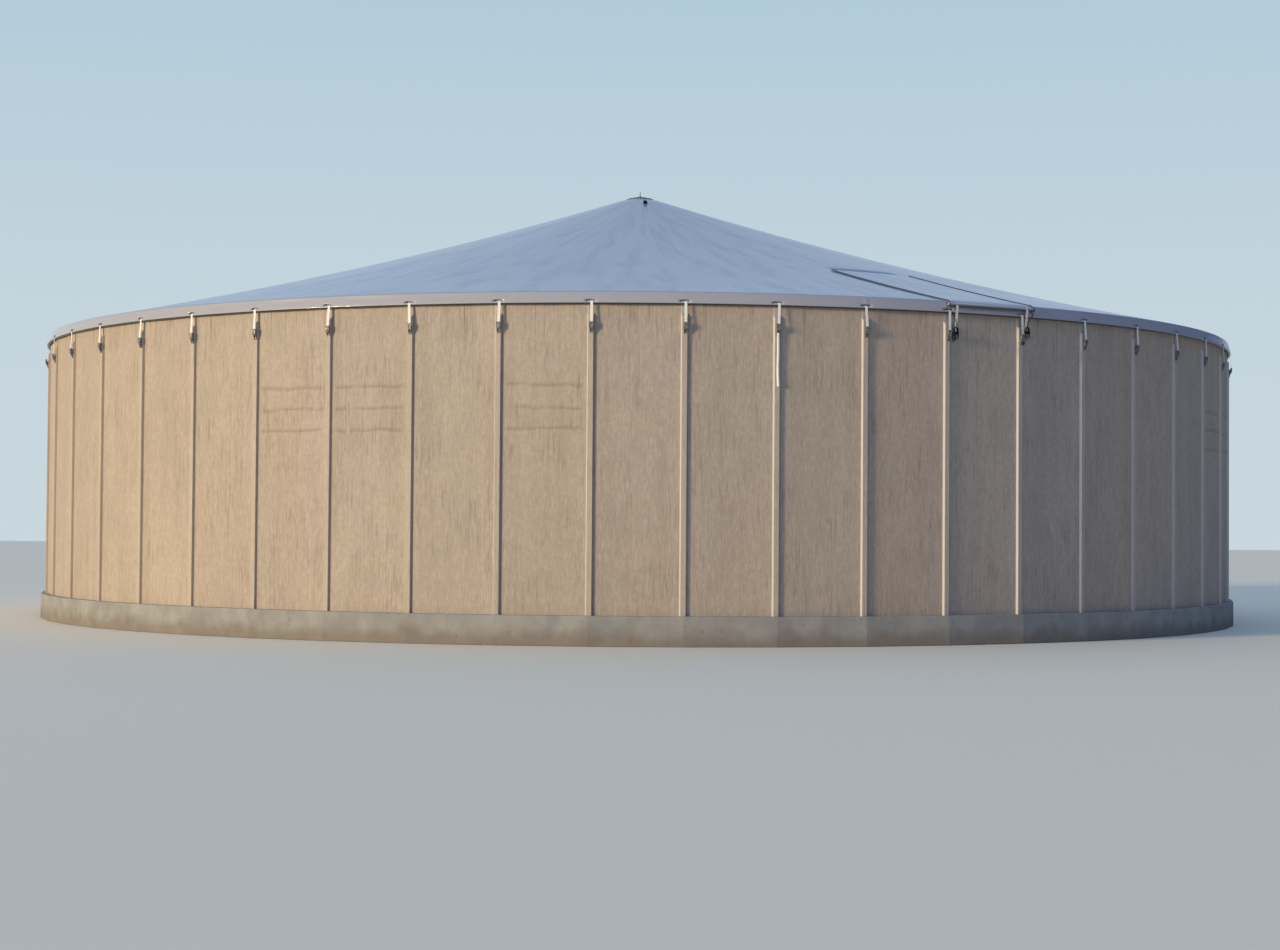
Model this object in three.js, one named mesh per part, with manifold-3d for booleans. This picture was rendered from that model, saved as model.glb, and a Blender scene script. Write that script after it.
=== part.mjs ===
// Slurry storage tank: a round wall of precast concrete panels on a concrete foundation,
// closed by a tent-shaped fabric cover that ratchet straps pull down over the wall.
// Millimetres, +Z up. The origin is the centre of the foundation's underside.
// Bearings are in radians from -Y, the side with the cover's access flap just right of it,
// and grow towards +X, which is to the right for someone who faces the tank there.

import * as THREE from 'three';
import { mergeVertices } from 'three/addons/utils/BufferGeometryUtils.js';
import Module from 'manifold-3d';

const wasm = await Module();
wasm.setup();

// Driving dimensions of the wall
const PANEL_COUNT = 52;
const PANEL_PITCH = 1200;
const PANEL_THICKNESS = 140;
const FOUNDATION_HEIGHT = 390;
const FOUNDATION_LEDGE = 100;
const WALL_HEIGHT = 4140;
const RIB_BASE_WIDTH = 94;
const RIB_FRONT_WIDTH = 66;
const RIB_DEPTH = 30;
const RIB_TOP_BELOW_HEM = 105;
const RIB_TOP_SLOPE = 40;

// Driving dimensions of the cover
const FABRIC = 5;
const CREASE_ABOVE_WALL = 16;
const CREASE_OUTSIDE_WALL = 13;
const CONE_RISE = 2791;
const CONE_SAG = 0.22;
const COVER_HOLE_RADIUS = 70;
const SKIRT_DROP = 173;
const HEM_TUBE_RADIUS = 21.2;
const HEM_TUBE_SIDES = 8;
const HEM_TUBE_JOINT = 2;
const HEM_OFF_WALL = 1;
const SLOT_WIDTH = 115;
const SLOT_HEIGHT = 28;
const SLOT_ABOVE_TUBE_CENTRE = 17;

// Driving dimensions of the straps and their ratchets
const STRAP_WIDTH = 35;
const STRAP_THICKNESS = 3;
const STRAP_OFFSET = 10;
const RATCHET_WIDTH = 60;
const RATCHET_HEIGHT = 144;
const RATCHET_DEPTH = 48;
const RATCHET_FOOT = 26;
const RATCHET_FOOT_PLATE = 7;
const RATCHET_TOP_BELOW_HEM = 219;
const TAIL_LENGTH = 690;
const TAIL_RIB = 1;
const TAIL_STEPS = 8;

// Driving dimensions of the access flap and its ropes
const FLAP_BEARING = THREE.MathUtils.degToRad(24.4);
const FLAP_TOP_RADIUS = 6850;
const FLAP_LEFT = -50;
const FLAP_RIGHT = 1380;
const FLAP_HEM_ABOVE_HEM = 97;
const FLAP_TUBE_INSET = 8;
const LEFT_FLAP_STRAP = { panel: 4, fromRib: 112, lean: 0.06 };
const RIGHT_FLAP_STRAP = { panel: 5, fromRib: 62, lean: 0.1 };
const HATCH_INSET = 110;
const HATCH_OUTER_RADIUS = 9700;
const ROPE_RADIUS = 5;
const ROPE_SIDES = 8;
const ROPE_SPANS = 6;
const ROPE_CLEARANCE = 0.5;
const ROPE_HEM_TURN = THREE.MathUtils.degToRad(67.5);
const ROPE_RUN_IN = 60;
const ROPE_FROM_FLAP_EDGE = 18;
const HANK_WIDTH = 76;
const HANK_HEIGHT = 172;
const HANK_DEPTH = 43;
const HANK_END_STEPS = 5;
const LEFT_HANK = { rib: 3, fromRib: 92, belowHem: 175, out: 82 };
const RIGHT_HANK = { rib: 4, fromRib: 48, belowHem: 118, out: 102 };

// Driving dimensions of the crown
const CAP_RADIUS = 235;
const CAP_RISE = 57;
const CAP_THICKNESS = 6;
const CROWN_PLATE_RADIUS = 420;
const CROWN_PLATE_THICKNESS = 12;
const CROWN_HUB_DEPTH = 60;
const CROWN_HUB_RADIUS = 140;
const POST_RADIUS = 110;
const POST_SIDES = 16;
const SPIKE_RADIUS = 8;
const SPIKE_HEIGHT = 92;
const SPIKE_SIDES = 8;
const VENT_OUT = 700;
const VENT_RADIUS = 33;
const VENT_LEG = 22;
const VENT_LENGTH = 90;
const VENT_WALL = 5;
const VENT_SIDES = 8;

// Clearance kept between pieces that touch, and how near two corners are one corner
const GAP = 0.3;
const SAME_CORNER = 0.001;

const PITCH_ANGLE = (2 * Math.PI) / PANEL_COUNT;
const HALF_PITCH = PITCH_ANGLE / 2;
const WALL_CORNER = PANEL_PITCH / (2 * Math.sin(HALF_PITCH));
const WALL_FACE = WALL_CORNER * Math.cos(HALF_PITCH);
const WALL_INNER_CORNER = (WALL_FACE - PANEL_THICKNESS) / Math.cos(HALF_PITCH);
const WALL_TOP = FOUNDATION_HEIGHT + WALL_HEIGHT;
const PANELS_PER_SECTION = 4;
const SECTION_COUNT = PANEL_COUNT / PANELS_PER_SECTION;
const REACH = 2 * WALL_CORNER;

const CREASE_RADIUS = WALL_CORNER + CREASE_OUTSIDE_WALL;
const CREASE_Z = WALL_TOP + CREASE_ABOVE_WALL;
const HEM_Z = CREASE_Z - SKIRT_DROP;
const POCKET_INNER = HEM_TUBE_RADIUS + GAP;
const POCKET_OUTER = POCKET_INNER + FABRIC;
const TUBE_RADIUS_LINE = WALL_CORNER + HEM_OFF_WALL + POCKET_OUTER;
const TUBE_Z = HEM_Z + POCKET_OUTER;
const HEM_OUTER = TUBE_RADIUS_LINE + POCKET_OUTER;
const RIB_FRONT = WALL_CORNER + RIB_DEPTH;
const RATCHET_TOP = HEM_Z - RATCHET_TOP_BELOW_HEM;

const materials = {
  wallConcrete: new THREE.MeshStandardMaterial({ color: 0xb3a796, roughness: 0.92, metalness: 0 }),
  slabConcrete: new THREE.MeshStandardMaterial({ color: 0x9c9a96, roughness: 0.94, metalness: 0 }),
  coverFabric: new THREE.MeshStandardMaterial({ color: 0x97a3b8, roughness: 0.6, metalness: 0 }),
  steel: new THREE.MeshStandardMaterial({ color: 0xc3c5c4, roughness: 0.42, metalness: 0.9 }),
  webbing: new THREE.MeshStandardMaterial({ color: 0xe8e4dc, roughness: 0.8, metalness: 0 }),
  rope: new THREE.MeshStandardMaterial({ color: 0x23262b, roughness: 0.85, metalness: 0 }),
  capPlastic: new THREE.MeshStandardMaterial({ color: 0x6d7682, roughness: 0.55, metalness: 0 }),
};

// The bearing of a rib. Rib 0 is the first one right of the middle of the front panel.
const ribBearing = (rib) => (rib + 0.5) * PITCH_ANGLE;

// A point in plan at a distance and bearing from the axis.
const planPoint = (radius, bearing) =>
  new THREE.Vector2(radius * Math.sin(bearing), -radius * Math.cos(bearing));

// Joins a closed geometry's shared corners and makes a solid of it for cutting.
function solid(geometry) {
  const bare = geometry.clone();
  for (const name of ['normal', 'uv']) bare.deleteAttribute(name);
  const merged = mergeVertices(bare, SAME_CORNER);
  const points = merged.attributes.position.array;
  const index = merged.index.array;
  const triangles = [];
  for (let i = 0; i < index.length; i += 3) {
    const [a, b, c] = [index[i], index[i + 1], index[i + 2]];
    if (a !== b && b !== c && c !== a) triangles.push(a, b, c);
  }
  const mesh = new wasm.Mesh({
    numProp: 3,
    vertProperties: new Float32Array(points),
    triVerts: new Uint32Array(triangles),
  });
  return new wasm.Manifold(mesh);
}

// Turns a solid back into a geometry with flat faces.
function geometryOf(body) {
  const mesh = body.getMesh();
  const geometry = new THREE.BufferGeometry();
  geometry.setAttribute('position', new THREE.BufferAttribute(new Float32Array(mesh.vertProperties), 3));
  geometry.setIndex(new THREE.BufferAttribute(new Uint32Array(mesh.triVerts), 1));
  return geometry;
}

// A vertical prism over an outline in plan.
function prism(outline, bottom, top) {
  const geometry = new THREE.ExtrudeGeometry(new THREE.Shape(outline), {
    depth: top - bottom,
    bevelEnabled: false,
  });
  return geometry.translate(0, 0, bottom);
}

// A plate whose outline is drawn side-on at the front of the tank, as [distance out from
// the axis, height], and whose width runs sideways. It is centred on the bearing 0.
function sidePlate(outline, width) {
  const shape = new THREE.Shape(outline.map(([out, height]) => new THREE.Vector2(-out, height)));
  const geometry = new THREE.ExtrudeGeometry(shape, { depth: width, bevelEnabled: false });
  geometry.translate(0, 0, -width / 2);
  const sideways = new THREE.Matrix4().makeBasis(
    new THREE.Vector3(0, 1, 0),
    new THREE.Vector3(0, 0, 1),
    new THREE.Vector3(1, 0, 0),
  );
  return geometry.applyMatrix4(sideways);
}

// A ring with one straight side per panel and its corners at the ribs, from a closed
// profile of [radius, height] points. The faces of a ring point out where its profile
// runs anticlockwise.
function ring(profile) {
  const points = profile.map(([radius, height]) => new THREE.Vector2(radius, height));
  if (THREE.ShapeUtils.isClockWise(points)) points.reverse();
  const geometry = new THREE.LatheGeometry([...points, points[0]], PANEL_COUNT, HALF_PITCH);
  return geometry.rotateX(Math.PI / 2);
}

// A flat band of the strap's thickness along a side-on route of [out, height] points.
function bandOutline(route) {
  const points = route.map(([out, height]) => new THREE.Vector2(out, height));
  const offsets = points.map((point, i) => {
    const before = points[Math.max(i - 1, 0)];
    const after = points[Math.min(i + 1, points.length - 1)];
    const along = after.clone().sub(before).normalize();
    return new THREE.Vector2(-along.y, along.x).multiplyScalar(STRAP_THICKNESS / 2);
  });
  const left = points.map((point, i) => point.clone().add(offsets[i]));
  const right = points.map((point, i) => point.clone().sub(offsets[i])).reverse();
  return [...left, ...right].map((point) => [point.x, point.y]);
}

// Points on part of a circle drawn side-on, from one angle to another.
function sideArc(out, height, radius, from, to, steps) {
  return Array.from({ length: steps + 1 }, (_, i) => {
    const angle = from + ((to - from) * i) / steps;
    return [out + radius * Math.cos(angle), height + radius * Math.sin(angle)];
  });
}

const group = new THREE.Group();

function addPiece(name, geometry, material, parent = group) {
  const mesh = new THREE.Mesh(geometry, material);
  mesh.name = name;
  parent.add(mesh);
  return mesh;
}

// Foundation and floor: one slab, whose edge stands proud of the wall.
function foundation() {
  const corner = (WALL_FACE + FOUNDATION_LEDGE) / Math.cos(HALF_PITCH);
  const outline = Array.from({ length: PANEL_COUNT }, (_, i) => planPoint(corner, ribBearing(i)));
  return prism(outline, 0, FOUNDATION_HEIGHT);
}

// A rib at the joint of two panels, drawn at bearing 0. Its left half laps over the panel
// before it. Where that panel is a separate piece, the lap keeps the clearance.
function ribOutline(lapsOtherPiece) {
  const halfBase = RIB_BASE_WIDTH / 2;
  const halfFront = RIB_FRONT_WIDTH / 2;
  const faceAtBase = WALL_CORNER - halfBase * Math.tan(HALF_PITCH);
  const flare = (halfBase - halfFront) / (RIB_FRONT - faceAtBase);
  const root = WALL_CORNER - PANEL_THICKNESS / 3;
  const rootHalf = halfBase + (faceAtBase - root) * flare;
  const right = [[halfFront, RIB_FRONT], [rootHalf, root]];
  const left = lapsOtherPiece
    ? [[GAP, root], [GAP, WALL_CORNER + GAP], [-halfBase, faceAtBase + GAP]]
    : [[-rootHalf, root]];
  return [...right, ...left, [-halfFront, RIB_FRONT]]
    .map(([across, out]) => new THREE.Vector2(across, -out));
}

// A section of wall: four flat panels edge to edge, with a rib at each panel's left edge.
// The ribs stop below the cover's hem, with a sloped top.
function wallSection(section) {
  const first = section * PANELS_PER_SECTION;
  const bearings = Array.from({ length: PANELS_PER_SECTION + 1 }, (_, i) => ribBearing(first + i));
  const clearance = GAP / 2 / WALL_CORNER;
  bearings[0] += clearance;
  bearings[PANELS_PER_SECTION] -= clearance;
  const outer = bearings.map((bearing) => planPoint(WALL_CORNER, bearing));
  const inner = bearings.map((bearing) => planPoint(WALL_INNER_CORNER, bearing)).reverse();
  const foot = FOUNDATION_HEIGHT + GAP;
  let wall = solid(prism([...outer, ...inner], foot, WALL_TOP));
  const ribTop = HEM_Z - RIB_TOP_BELOW_HEM;
  const topCut = solid(sidePlate([
    [WALL_CORNER + GAP, ribTop],
    [RIB_FRONT + RIB_DEPTH, ribTop - RIB_TOP_SLOPE * 2],
    [RIB_FRONT + RIB_DEPTH, ribTop + RIB_DEPTH],
    [WALL_CORNER + GAP, ribTop + RIB_DEPTH],
  ], 2 * RIB_BASE_WIDTH));
  for (let i = 0; i < PANELS_PER_SECTION; i += 1) {
    const rib = solid(prism(ribOutline(i === 0), foot, ribTop)).subtract(topCut);
    wall = wall.add(rib.rotate([0, 0, THREE.MathUtils.radToDeg(ribBearing(first + i))]));
  }
  return geometryOf(wall);
}

// Height of the cover's outer face at a ring radius. The fabric hangs a little hollow
// between the crown and the crease, and is clamped to a flatter cone under the cap.
function coneHeight(radius) {
  if (radius < CAP_RADIUS) return coneHeight(CAP_RADIUS) + CAP_RISE * (1 - radius / CAP_RADIUS);
  const share = radius / CREASE_RADIUS;
  return CREASE_Z + CONE_RISE * (1 - share - CONE_SAG * share * (1 - share));
}

// Ring radii outside the cap where the cone's slope changes, as shares of the crease's.
const CONE_SHARES = [0.16, 0.3, 0.45, 0.6, 0.8];
const FABRIC_TURN = CREASE_RADIUS - 3 * FABRIC;

// The cone's line as [radius, height] points between two radii, raised by an amount.
function coneLine(fromRadius, toRadius, raised) {
  const between = [CAP_RADIUS, ...CONE_SHARES.map((share) => share * CREASE_RADIUS)];
  const inside = between.filter((radius) => radius > fromRadius && radius < toRadius);
  return [fromRadius, ...inside, toRadius].map((radius) => [radius, coneHeight(radius) + raised]);
}

// The bearing of the panel, and so of the flat strip of cover, below a point in plan.
const stripBearing = (bearing) => Math.round(bearing / PITCH_ANGLE) * PITCH_ANGLE;

// Height of the faceted cover at a point in plan.
function coverHeight(radius, bearing) {
  const out = radius * Math.cos(bearing - stripBearing(bearing));
  const ringRadius = out / Math.cos(HALF_PITCH);
  const line = coneLine(0, FABRIC_TURN, 0);
  const next = Math.max(line.findIndex(([at]) => at >= ringRadius), 1);
  const [[r0, z0], [r1, z1]] = [line[next - 1], line[next]];
  return z0 + ((z1 - z0) * (ringRadius - r0)) / (r1 - r0);
}

// The cover's skirt and its hem pocket, which wraps under a tube and up behind it. The
// profile runs down the outside, round under the tube and back up the inside. The fabric
// meets the tube at its outermost corner, or one corner above that.
function skirtProfile(tubeOut, tubeZ, crease, lip, cornersAbove) {
  const start = (2 * Math.PI * cornersAbove) / HEM_TUBE_SIDES;
  const corners = HEM_TUBE_SIDES / 2 + cornersAbove;
  const outside = sideArc(tubeOut, tubeZ, POCKET_OUTER, start, -Math.PI, corners);
  const inside = sideArc(tubeOut, tubeZ, POCKET_INNER, -Math.PI, start, corners);
  return [
    crease.outer,
    ...outside,
    [tubeOut - POCKET_OUTER, tubeZ + lip],
    [tubeOut - POCKET_INNER, tubeZ + lip],
    ...inside,
    crease.inner,
  ];
}

// The main cover: cone, skirt and hem in one sheet, with a hole for the crown, a hatch
// under the access flap and a slot at every rib where a strap reaches the tube.
function roofCover() {
  const crease = {
    outer: [CREASE_RADIUS, CREASE_Z],
    inner: [CREASE_RADIUS - FABRIC, CREASE_Z - FABRIC],
  };
  const under = coneLine(COVER_HOLE_RADIUS, FABRIC_TURN, -FABRIC);
  const over = coneLine(COVER_HOLE_RADIUS, FABRIC_TURN, 0);
  const profile = [
    ...skirtProfile(TUBE_RADIUS_LINE, TUBE_Z, crease, HEM_TUBE_RADIUS / 2, 0),
    ...under.reverse(),
    ...over,
  ];
  let cover = solid(ring(profile));
  const slotBottom = TUBE_Z + SLOT_ABOVE_TUBE_CENTRE - SLOT_HEIGHT / 2;
  const slot = solid(sidePlate([
    [HEM_OUTER - POCKET_OUTER / 2, slotBottom],
    [HEM_OUTER + POCKET_OUTER, slotBottom],
    [HEM_OUTER + POCKET_OUTER, slotBottom + SLOT_HEIGHT],
    [HEM_OUTER - POCKET_OUTER / 2 - FABRIC, slotBottom + SLOT_HEIGHT],
  ], SLOT_WIDTH));
  for (let rib = 0; rib < PANEL_COUNT; rib += 1) {
    cover = cover.subtract(slot.rotate([0, 0, THREE.MathUtils.radToDeg(ribBearing(rib))]));
  }
  return geometryOf(cover.subtract(flapPrism(
    FLAP_TOP_RADIUS + HATCH_INSET,
    HATCH_OUTER_RADIUS,
    FLAP_LEFT + HATCH_INSET,
    FLAP_RIGHT - HATCH_INSET,
  )));
}

// A tall prism over a rectangle in plan whose long sides run along the flap's bearing.
function flapPrism(fromRadius, toRadius, left, right) {
  const corners = [[left, fromRadius], [right, fromRadius], [right, toRadius], [left, toRadius]];
  const outline = corners.map(([across, out]) => new THREE.Vector2(across, -out));
  const upright = prism(outline, FOUNDATION_HEIGHT, CREASE_Z + CONE_RISE);
  return solid(upright.rotateZ(FLAP_BEARING));
}

// Where the flap's own hem tube runs: in front of the main skirt, which slopes outwards
// from the crease to its tube.
const FLAP_HEM_Z = HEM_Z + FLAP_HEM_ABOVE_HEM;
const FLAP_TUBE_Z = FLAP_HEM_Z + POCKET_OUTER;
const SKIRT_OUT_AT_FLAP_HEM = CREASE_RADIUS
  + ((HEM_OUTER - CREASE_RADIUS) * (CREASE_Z - FLAP_HEM_Z)) / (CREASE_Z - TUBE_Z);
const FLAP_TUBE_LINE = SKIRT_OUT_AT_FLAP_HEM + 2 * GAP + POCKET_OUTER;
const FLAP_HEM_OUTER = FLAP_TUBE_LINE + POCKET_OUTER;

const FLAP_RISE = 2 * GAP + FABRIC;

// The flap's two straps, each on a panel just right of its rib, leaning a little.
const flapStraps = [LEFT_FLAP_STRAP, RIGHT_FLAP_STRAP].map(({ panel, fromRib, lean }) => (
  { panel, across: fromRib - PANEL_PITCH / 2, lean }
));

// The access flap lies on the cover over the hatch and turns down over the skirt.
function accessFlap() {
  const rise = FLAP_RISE;
  const crease = {
    outer: [CREASE_RADIUS + rise, CREASE_Z + rise],
    inner: [CREASE_RADIUS + 2 * GAP, CREASE_Z + 2 * GAP],
  };
  const over = coneLine(FLAP_TOP_RADIUS - PANEL_PITCH, FABRIC_TURN, rise);
  const under = coneLine(FLAP_TOP_RADIUS - PANEL_PITCH, FABRIC_TURN, 2 * GAP);
  const profile = [
    ...skirtProfile(FLAP_TUBE_LINE, FLAP_TUBE_Z, crease, 0, 1),
    ...under.reverse(),
    ...over,
  ];
  let flap = solid(ring(profile));
  flap = flap.intersect(flapPrism(FLAP_TOP_RADIUS, REACH, FLAP_LEFT, FLAP_RIGHT));
  const slotIn = FLAP_TUBE_LINE * Math.cos(HALF_PITCH) - FABRIC;
  const slotBottom = FLAP_TUBE_Z + HEM_TUBE_RADIUS / 2;
  const slot = solid(sidePlate([
    [slotIn, slotBottom],
    [slotIn + 2 * POCKET_OUTER, slotBottom],
    [slotIn + 2 * POCKET_OUTER, slotBottom + SLOT_HEIGHT],
    [slotIn, slotBottom + SLOT_HEIGHT],
  ], SLOT_WIDTH));
  for (const { panel, across } of flapStraps) {
    const bearing = THREE.MathUtils.radToDeg(panel * PITCH_ANGLE);
    flap = flap.subtract(slot.translate([across, 0, 0]).rotate([0, 0, bearing]));
  }
  return geometryOf(flap);
}

// A ratchet tensioner seen side-on: its foot plate lies on the concrete at `seat`, its
// frame and folded handle stand off it.
function ratchetOutline(seat, top) {
  const bottom = top - RATCHET_HEIGHT;
  const back = seat + GAP;
  return [
    [back, bottom],
    [back + RATCHET_FOOT_PLATE, bottom],
    [back + RATCHET_FOOT_PLATE, bottom + RATCHET_FOOT],
    [back + RATCHET_DEPTH / 2, bottom + RATCHET_FOOT],
    [back + RATCHET_DEPTH, top - RATCHET_HEIGHT / 2],
    [back + RATCHET_DEPTH, top - RATCHET_FOOT],
    [back + RATCHET_DEPTH / 2, top],
    [back + RATCHET_FOOT_PLATE, top - RATCHET_FOOT / 2],
    [back, top - RATCHET_FOOT / 2],
  ];
}

// A strap from the top of a hem tube, out over the hem and down to its ratchet.
function strapOutline(tubeOut, tubeZ, hemOut, hemBottom, seat, ratchetTop) {
  const clear = hemOut + STRAP_THICKNESS;
  const tubeTop = tubeZ + HEM_TUBE_RADIUS;
  return bandOutline([
    [tubeOut, tubeTop + STRAP_THICKNESS / 3],
    [tubeOut + HEM_TUBE_RADIUS, tubeTop],
    [clear, tubeTop - STRAP_THICKNESS],
    [clear + STRAP_THICKNESS / 2, tubeZ + HEM_TUBE_RADIUS / 2],
    [clear + STRAP_THICKNESS / 2, hemBottom - STRAP_OFFSET],
    [seat + GAP + RATCHET_DEPTH / 2, ratchetTop - STRAP_OFFSET],
  ]);
}

// A strap with its ratchet, drawn at bearing 0.
function tensioner(tubeOut, tubeZ, hemOut, hemBottom, seat, ratchetTop) {
  const strap = sidePlate(strapOutline(tubeOut, tubeZ, hemOut, hemBottom, seat, ratchetTop), STRAP_WIDTH);
  const ratchet = sidePlate(ratchetOutline(seat, ratchetTop), RATCHET_WIDTH);
  return solid(strap).add(solid(ratchet));
}

// The whole hem tube, and the slice of plan that one length of it takes up.
function tubeRing(out, height) {
  const lastCorner = 2 * Math.PI * (1 - 1 / HEM_TUBE_SIDES);
  return solid(ring(sideArc(out, height, HEM_TUBE_RADIUS, 0, lastCorner, HEM_TUBE_SIDES - 1)));
}

function planSlice(fromBearing, toBearing) {
  const outline = [
    new THREE.Vector2(0, 0),
    planPoint(REACH, fromBearing),
    planPoint(REACH, toBearing),
  ];
  return solid(prism(outline, 0, REACH));
}

// One length of hem tube with the straps and ratchets of four ribs. The tube carries the
// straps, and each ratchet is fixed to the front of its rib.
function tensionerSet(set) {
  const first = set * PANELS_PER_SECTION;
  const joint = HEM_TUBE_JOINT / 2 / TUBE_RADIUS_LINE;
  const slice = planSlice(first * PITCH_ANGLE + joint, (first + PANELS_PER_SECTION) * PITCH_ANGLE - joint);
  let body = tubeRing(TUBE_RADIUS_LINE, TUBE_Z).intersect(slice);
  const one = tensioner(TUBE_RADIUS_LINE, TUBE_Z, HEM_OUTER, HEM_Z, RIB_FRONT, RATCHET_TOP);
  for (let i = 0; i < PANELS_PER_SECTION; i += 1) {
    const bearing = THREE.MathUtils.radToDeg(ribBearing(first + i));
    body = body.add(one.translate([STRAP_OFFSET, 0, 0]).rotate([0, 0, bearing]));
  }
  return geometryOf(body);
}

// The flap's hem tube with its two straps, whose ratchets are fixed to the panels.
function flapTensioners() {
  let body = tubeRing(FLAP_TUBE_LINE, FLAP_TUBE_Z)
    .intersect(flapPrism(FLAP_TOP_RADIUS, REACH, FLAP_LEFT + FLAP_TUBE_INSET, FLAP_RIGHT - FLAP_TUBE_INSET));
  const shorter = Math.cos(HALF_PITCH);
  const hemOut = FLAP_HEM_OUTER * shorter;
  for (const { panel, across, lean } of flapStraps) {
    const one = tensioner(
      FLAP_TUBE_LINE * shorter, FLAP_TUBE_Z, hemOut, FLAP_HEM_Z, WALL_FACE, RATCHET_TOP,
    );
    const placed = one
      .translate([0, 0, -FLAP_TUBE_Z])
      .rotate([0, THREE.MathUtils.radToDeg(-lean), 0])
      .translate([across, 0, FLAP_TUBE_Z])
      .rotate([0, 0, THREE.MathUtils.radToDeg(panel * PITCH_ANGLE)]);
    body = body.add(placed);
  }
  return geometryOf(body);
}

// A rope along a route of points in space, with one section at each of the points: far
// apart where it runs straight, and close where it turns.
function rope(route) {
  const corners = sideArc(0, 0, ROPE_RADIUS, 0, 2 * Math.PI * (1 - 1 / ROPE_SIDES), ROPE_SIDES - 1);
  const path = new THREE.CatmullRomCurve3(route, false, 'centripetal');
  path.getUtoTmapping = (share) => share;
  return new THREE.ExtrudeGeometry(new THREE.Shape(corners.map(([x, y]) => new THREE.Vector2(x, y))), {
    extrudePath: path,
    steps: route.length - 1,
    bevelEnabled: false,
  });
}

// A point at a distance across the flap from its bearing line, and out along it.
function flapPoint(across, out) {
  return {
    radius: Math.hypot(across, out),
    bearing: FLAP_BEARING + Math.atan2(across, out),
  };
}

function spacePoint(radius, bearing, height) {
  const plan = planPoint(radius, bearing);
  return new THREE.Vector3(plan.x, plan.y, height);
}

// A rope lies along one edge of the flap, turns down over the hem and ends at the top of
// its hank, in line with the hank's front layer of turns.
function edgeRope(across, hank) {
  const onFlap = [];
  for (let step = 0; step <= ROPE_SPANS; step += 1) {
    const out = THREE.MathUtils.lerp(FLAP_TOP_RADIUS + ROPE_FROM_FLAP_EDGE, FABRIC_TURN, step / ROPE_SPANS);
    const { radius, bearing } = flapPoint(across, Math.sqrt(out * out - across * across));
    const height = coverHeight(radius, bearing) + FLAP_RISE + ROPE_RADIUS + ROPE_CLEARANCE;
    onFlap.push(spacePoint(radius, bearing, height));
  }
  const standOff = ROPE_RADIUS + ROPE_CLEARANCE;
  const edge = FLAP_BEARING + Math.atan2(across, FLAP_HEM_OUTER);
  const overCrease = [CREASE_RADIUS + FLAP_RISE + standOff / 2, CREASE_Z + FLAP_RISE + standOff];
  const roundHem = sideArc(FLAP_TUBE_LINE, FLAP_TUBE_Z, POCKET_OUTER + standOff, ROPE_HEM_TURN, 0, 3);
  const belowHem = [FLAP_HEM_OUTER + standOff, FLAP_HEM_Z];
  const top = hank.top + GAP;
  const frontLayer = WALL_CORNER + hank.out + HANK_DEPTH / 2 - ROPE_RADIUS - ROPE_CLEARANCE;
  return rope([
    ...onFlap,
    ...[overCrease, ...roundHem, belowHem].map(([out, height]) => spacePoint(out, edge, height)),
    spacePoint(frontLayer, hank.bearing, top + ROPE_RUN_IN),
    spacePoint(frontLayer, hank.bearing, top),
  ]);
}

// The outer shape of a hank of spare rope: a flat bundle with round ends, whose topmost
// side lies level under the rope's end.
function ropeHank({ bearing, top, out }) {
  const half = HANK_WIDTH / 2;
  const flattened = half * (1 - Math.cos(Math.PI / 2 / HANK_END_STEPS));
  const outline = [
    ...sideArc(0, -half, half, 0, Math.PI, HANK_END_STEPS),
    ...sideArc(0, half - HANK_HEIGHT, half, Math.PI, 2 * Math.PI, HANK_END_STEPS),
  ];
  const shape = new THREE.Shape(outline.map(([across, height]) => new THREE.Vector2(across, height)));
  const geometry = new THREE.ExtrudeGeometry(shape, { depth: HANK_DEPTH, bevelEnabled: false });
  geometry.translate(0, 0, -HANK_DEPTH / 2).rotateX(Math.PI / 2);
  return geometry.translate(0, -(WALL_CORNER + out), top + flattened).rotateZ(bearing);
}

const [leftHank, rightHank] = [LEFT_HANK, RIGHT_HANK].map(({ rib, fromRib, belowHem, out }) => (
  { bearing: ribBearing(rib) + fromRib / WALL_CORNER, top: HEM_Z - belowHem, out }
));

// The loose end of a strap hangs from its ratchet in front of the rib, bowed a little
// towards the concrete.
function looseTail() {
  const out = RIB_FRONT + GAP + RATCHET_DEPTH / 3;
  const top = RATCHET_TOP - RATCHET_HEIGHT + RATCHET_FOOT - GAP;
  const bow = 2 * STRAP_THICKNESS;
  const route = Array.from({ length: TAIL_STEPS + 1 }, (_, i) => {
    const share = i / TAIL_STEPS;
    return [out - bow * Math.sin(Math.PI * share), top - TAIL_LENGTH * share];
  });
  return sidePlate(bandOutline(route), STRAP_WIDTH)
    .translate(STRAP_OFFSET, 0, 0)
    .rotateZ(ribBearing(TAIL_RIB));
}

// The crown: a dished plate under the fabric, on a post that stands on the floor, with a
// flat conical cap over it that carries a thin spike.
const HUB_BOTTOM = coneHeight(CAP_RADIUS) - CROWN_HUB_DEPTH;
const CAP_TOP = coneHeight(0) + GAP + CAP_THICKNESS;

function crownPlate() {
  const underFabric = (radius) => [radius, coneHeight(radius) - FABRIC - GAP];
  const [rimRadius, rimTop] = underFabric(CROWN_PLATE_RADIUS);
  return ring([
    [0, HUB_BOTTOM],
    [CROWN_HUB_RADIUS, HUB_BOTTOM],
    [rimRadius, rimTop - CROWN_PLATE_THICKNESS],
    [rimRadius, rimTop],
    underFabric(CAP_RADIUS),
    underFabric(0),
  ]);
}

function centrePost() {
  const bottom = FOUNDATION_HEIGHT + GAP;
  const top = HUB_BOTTOM - GAP;
  const geometry = new THREE.CylinderGeometry(POST_RADIUS, POST_RADIUS, top - bottom, POST_SIDES);
  return geometry.rotateX(Math.PI / 2).translate(0, 0, (top + bottom) / 2);
}

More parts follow.
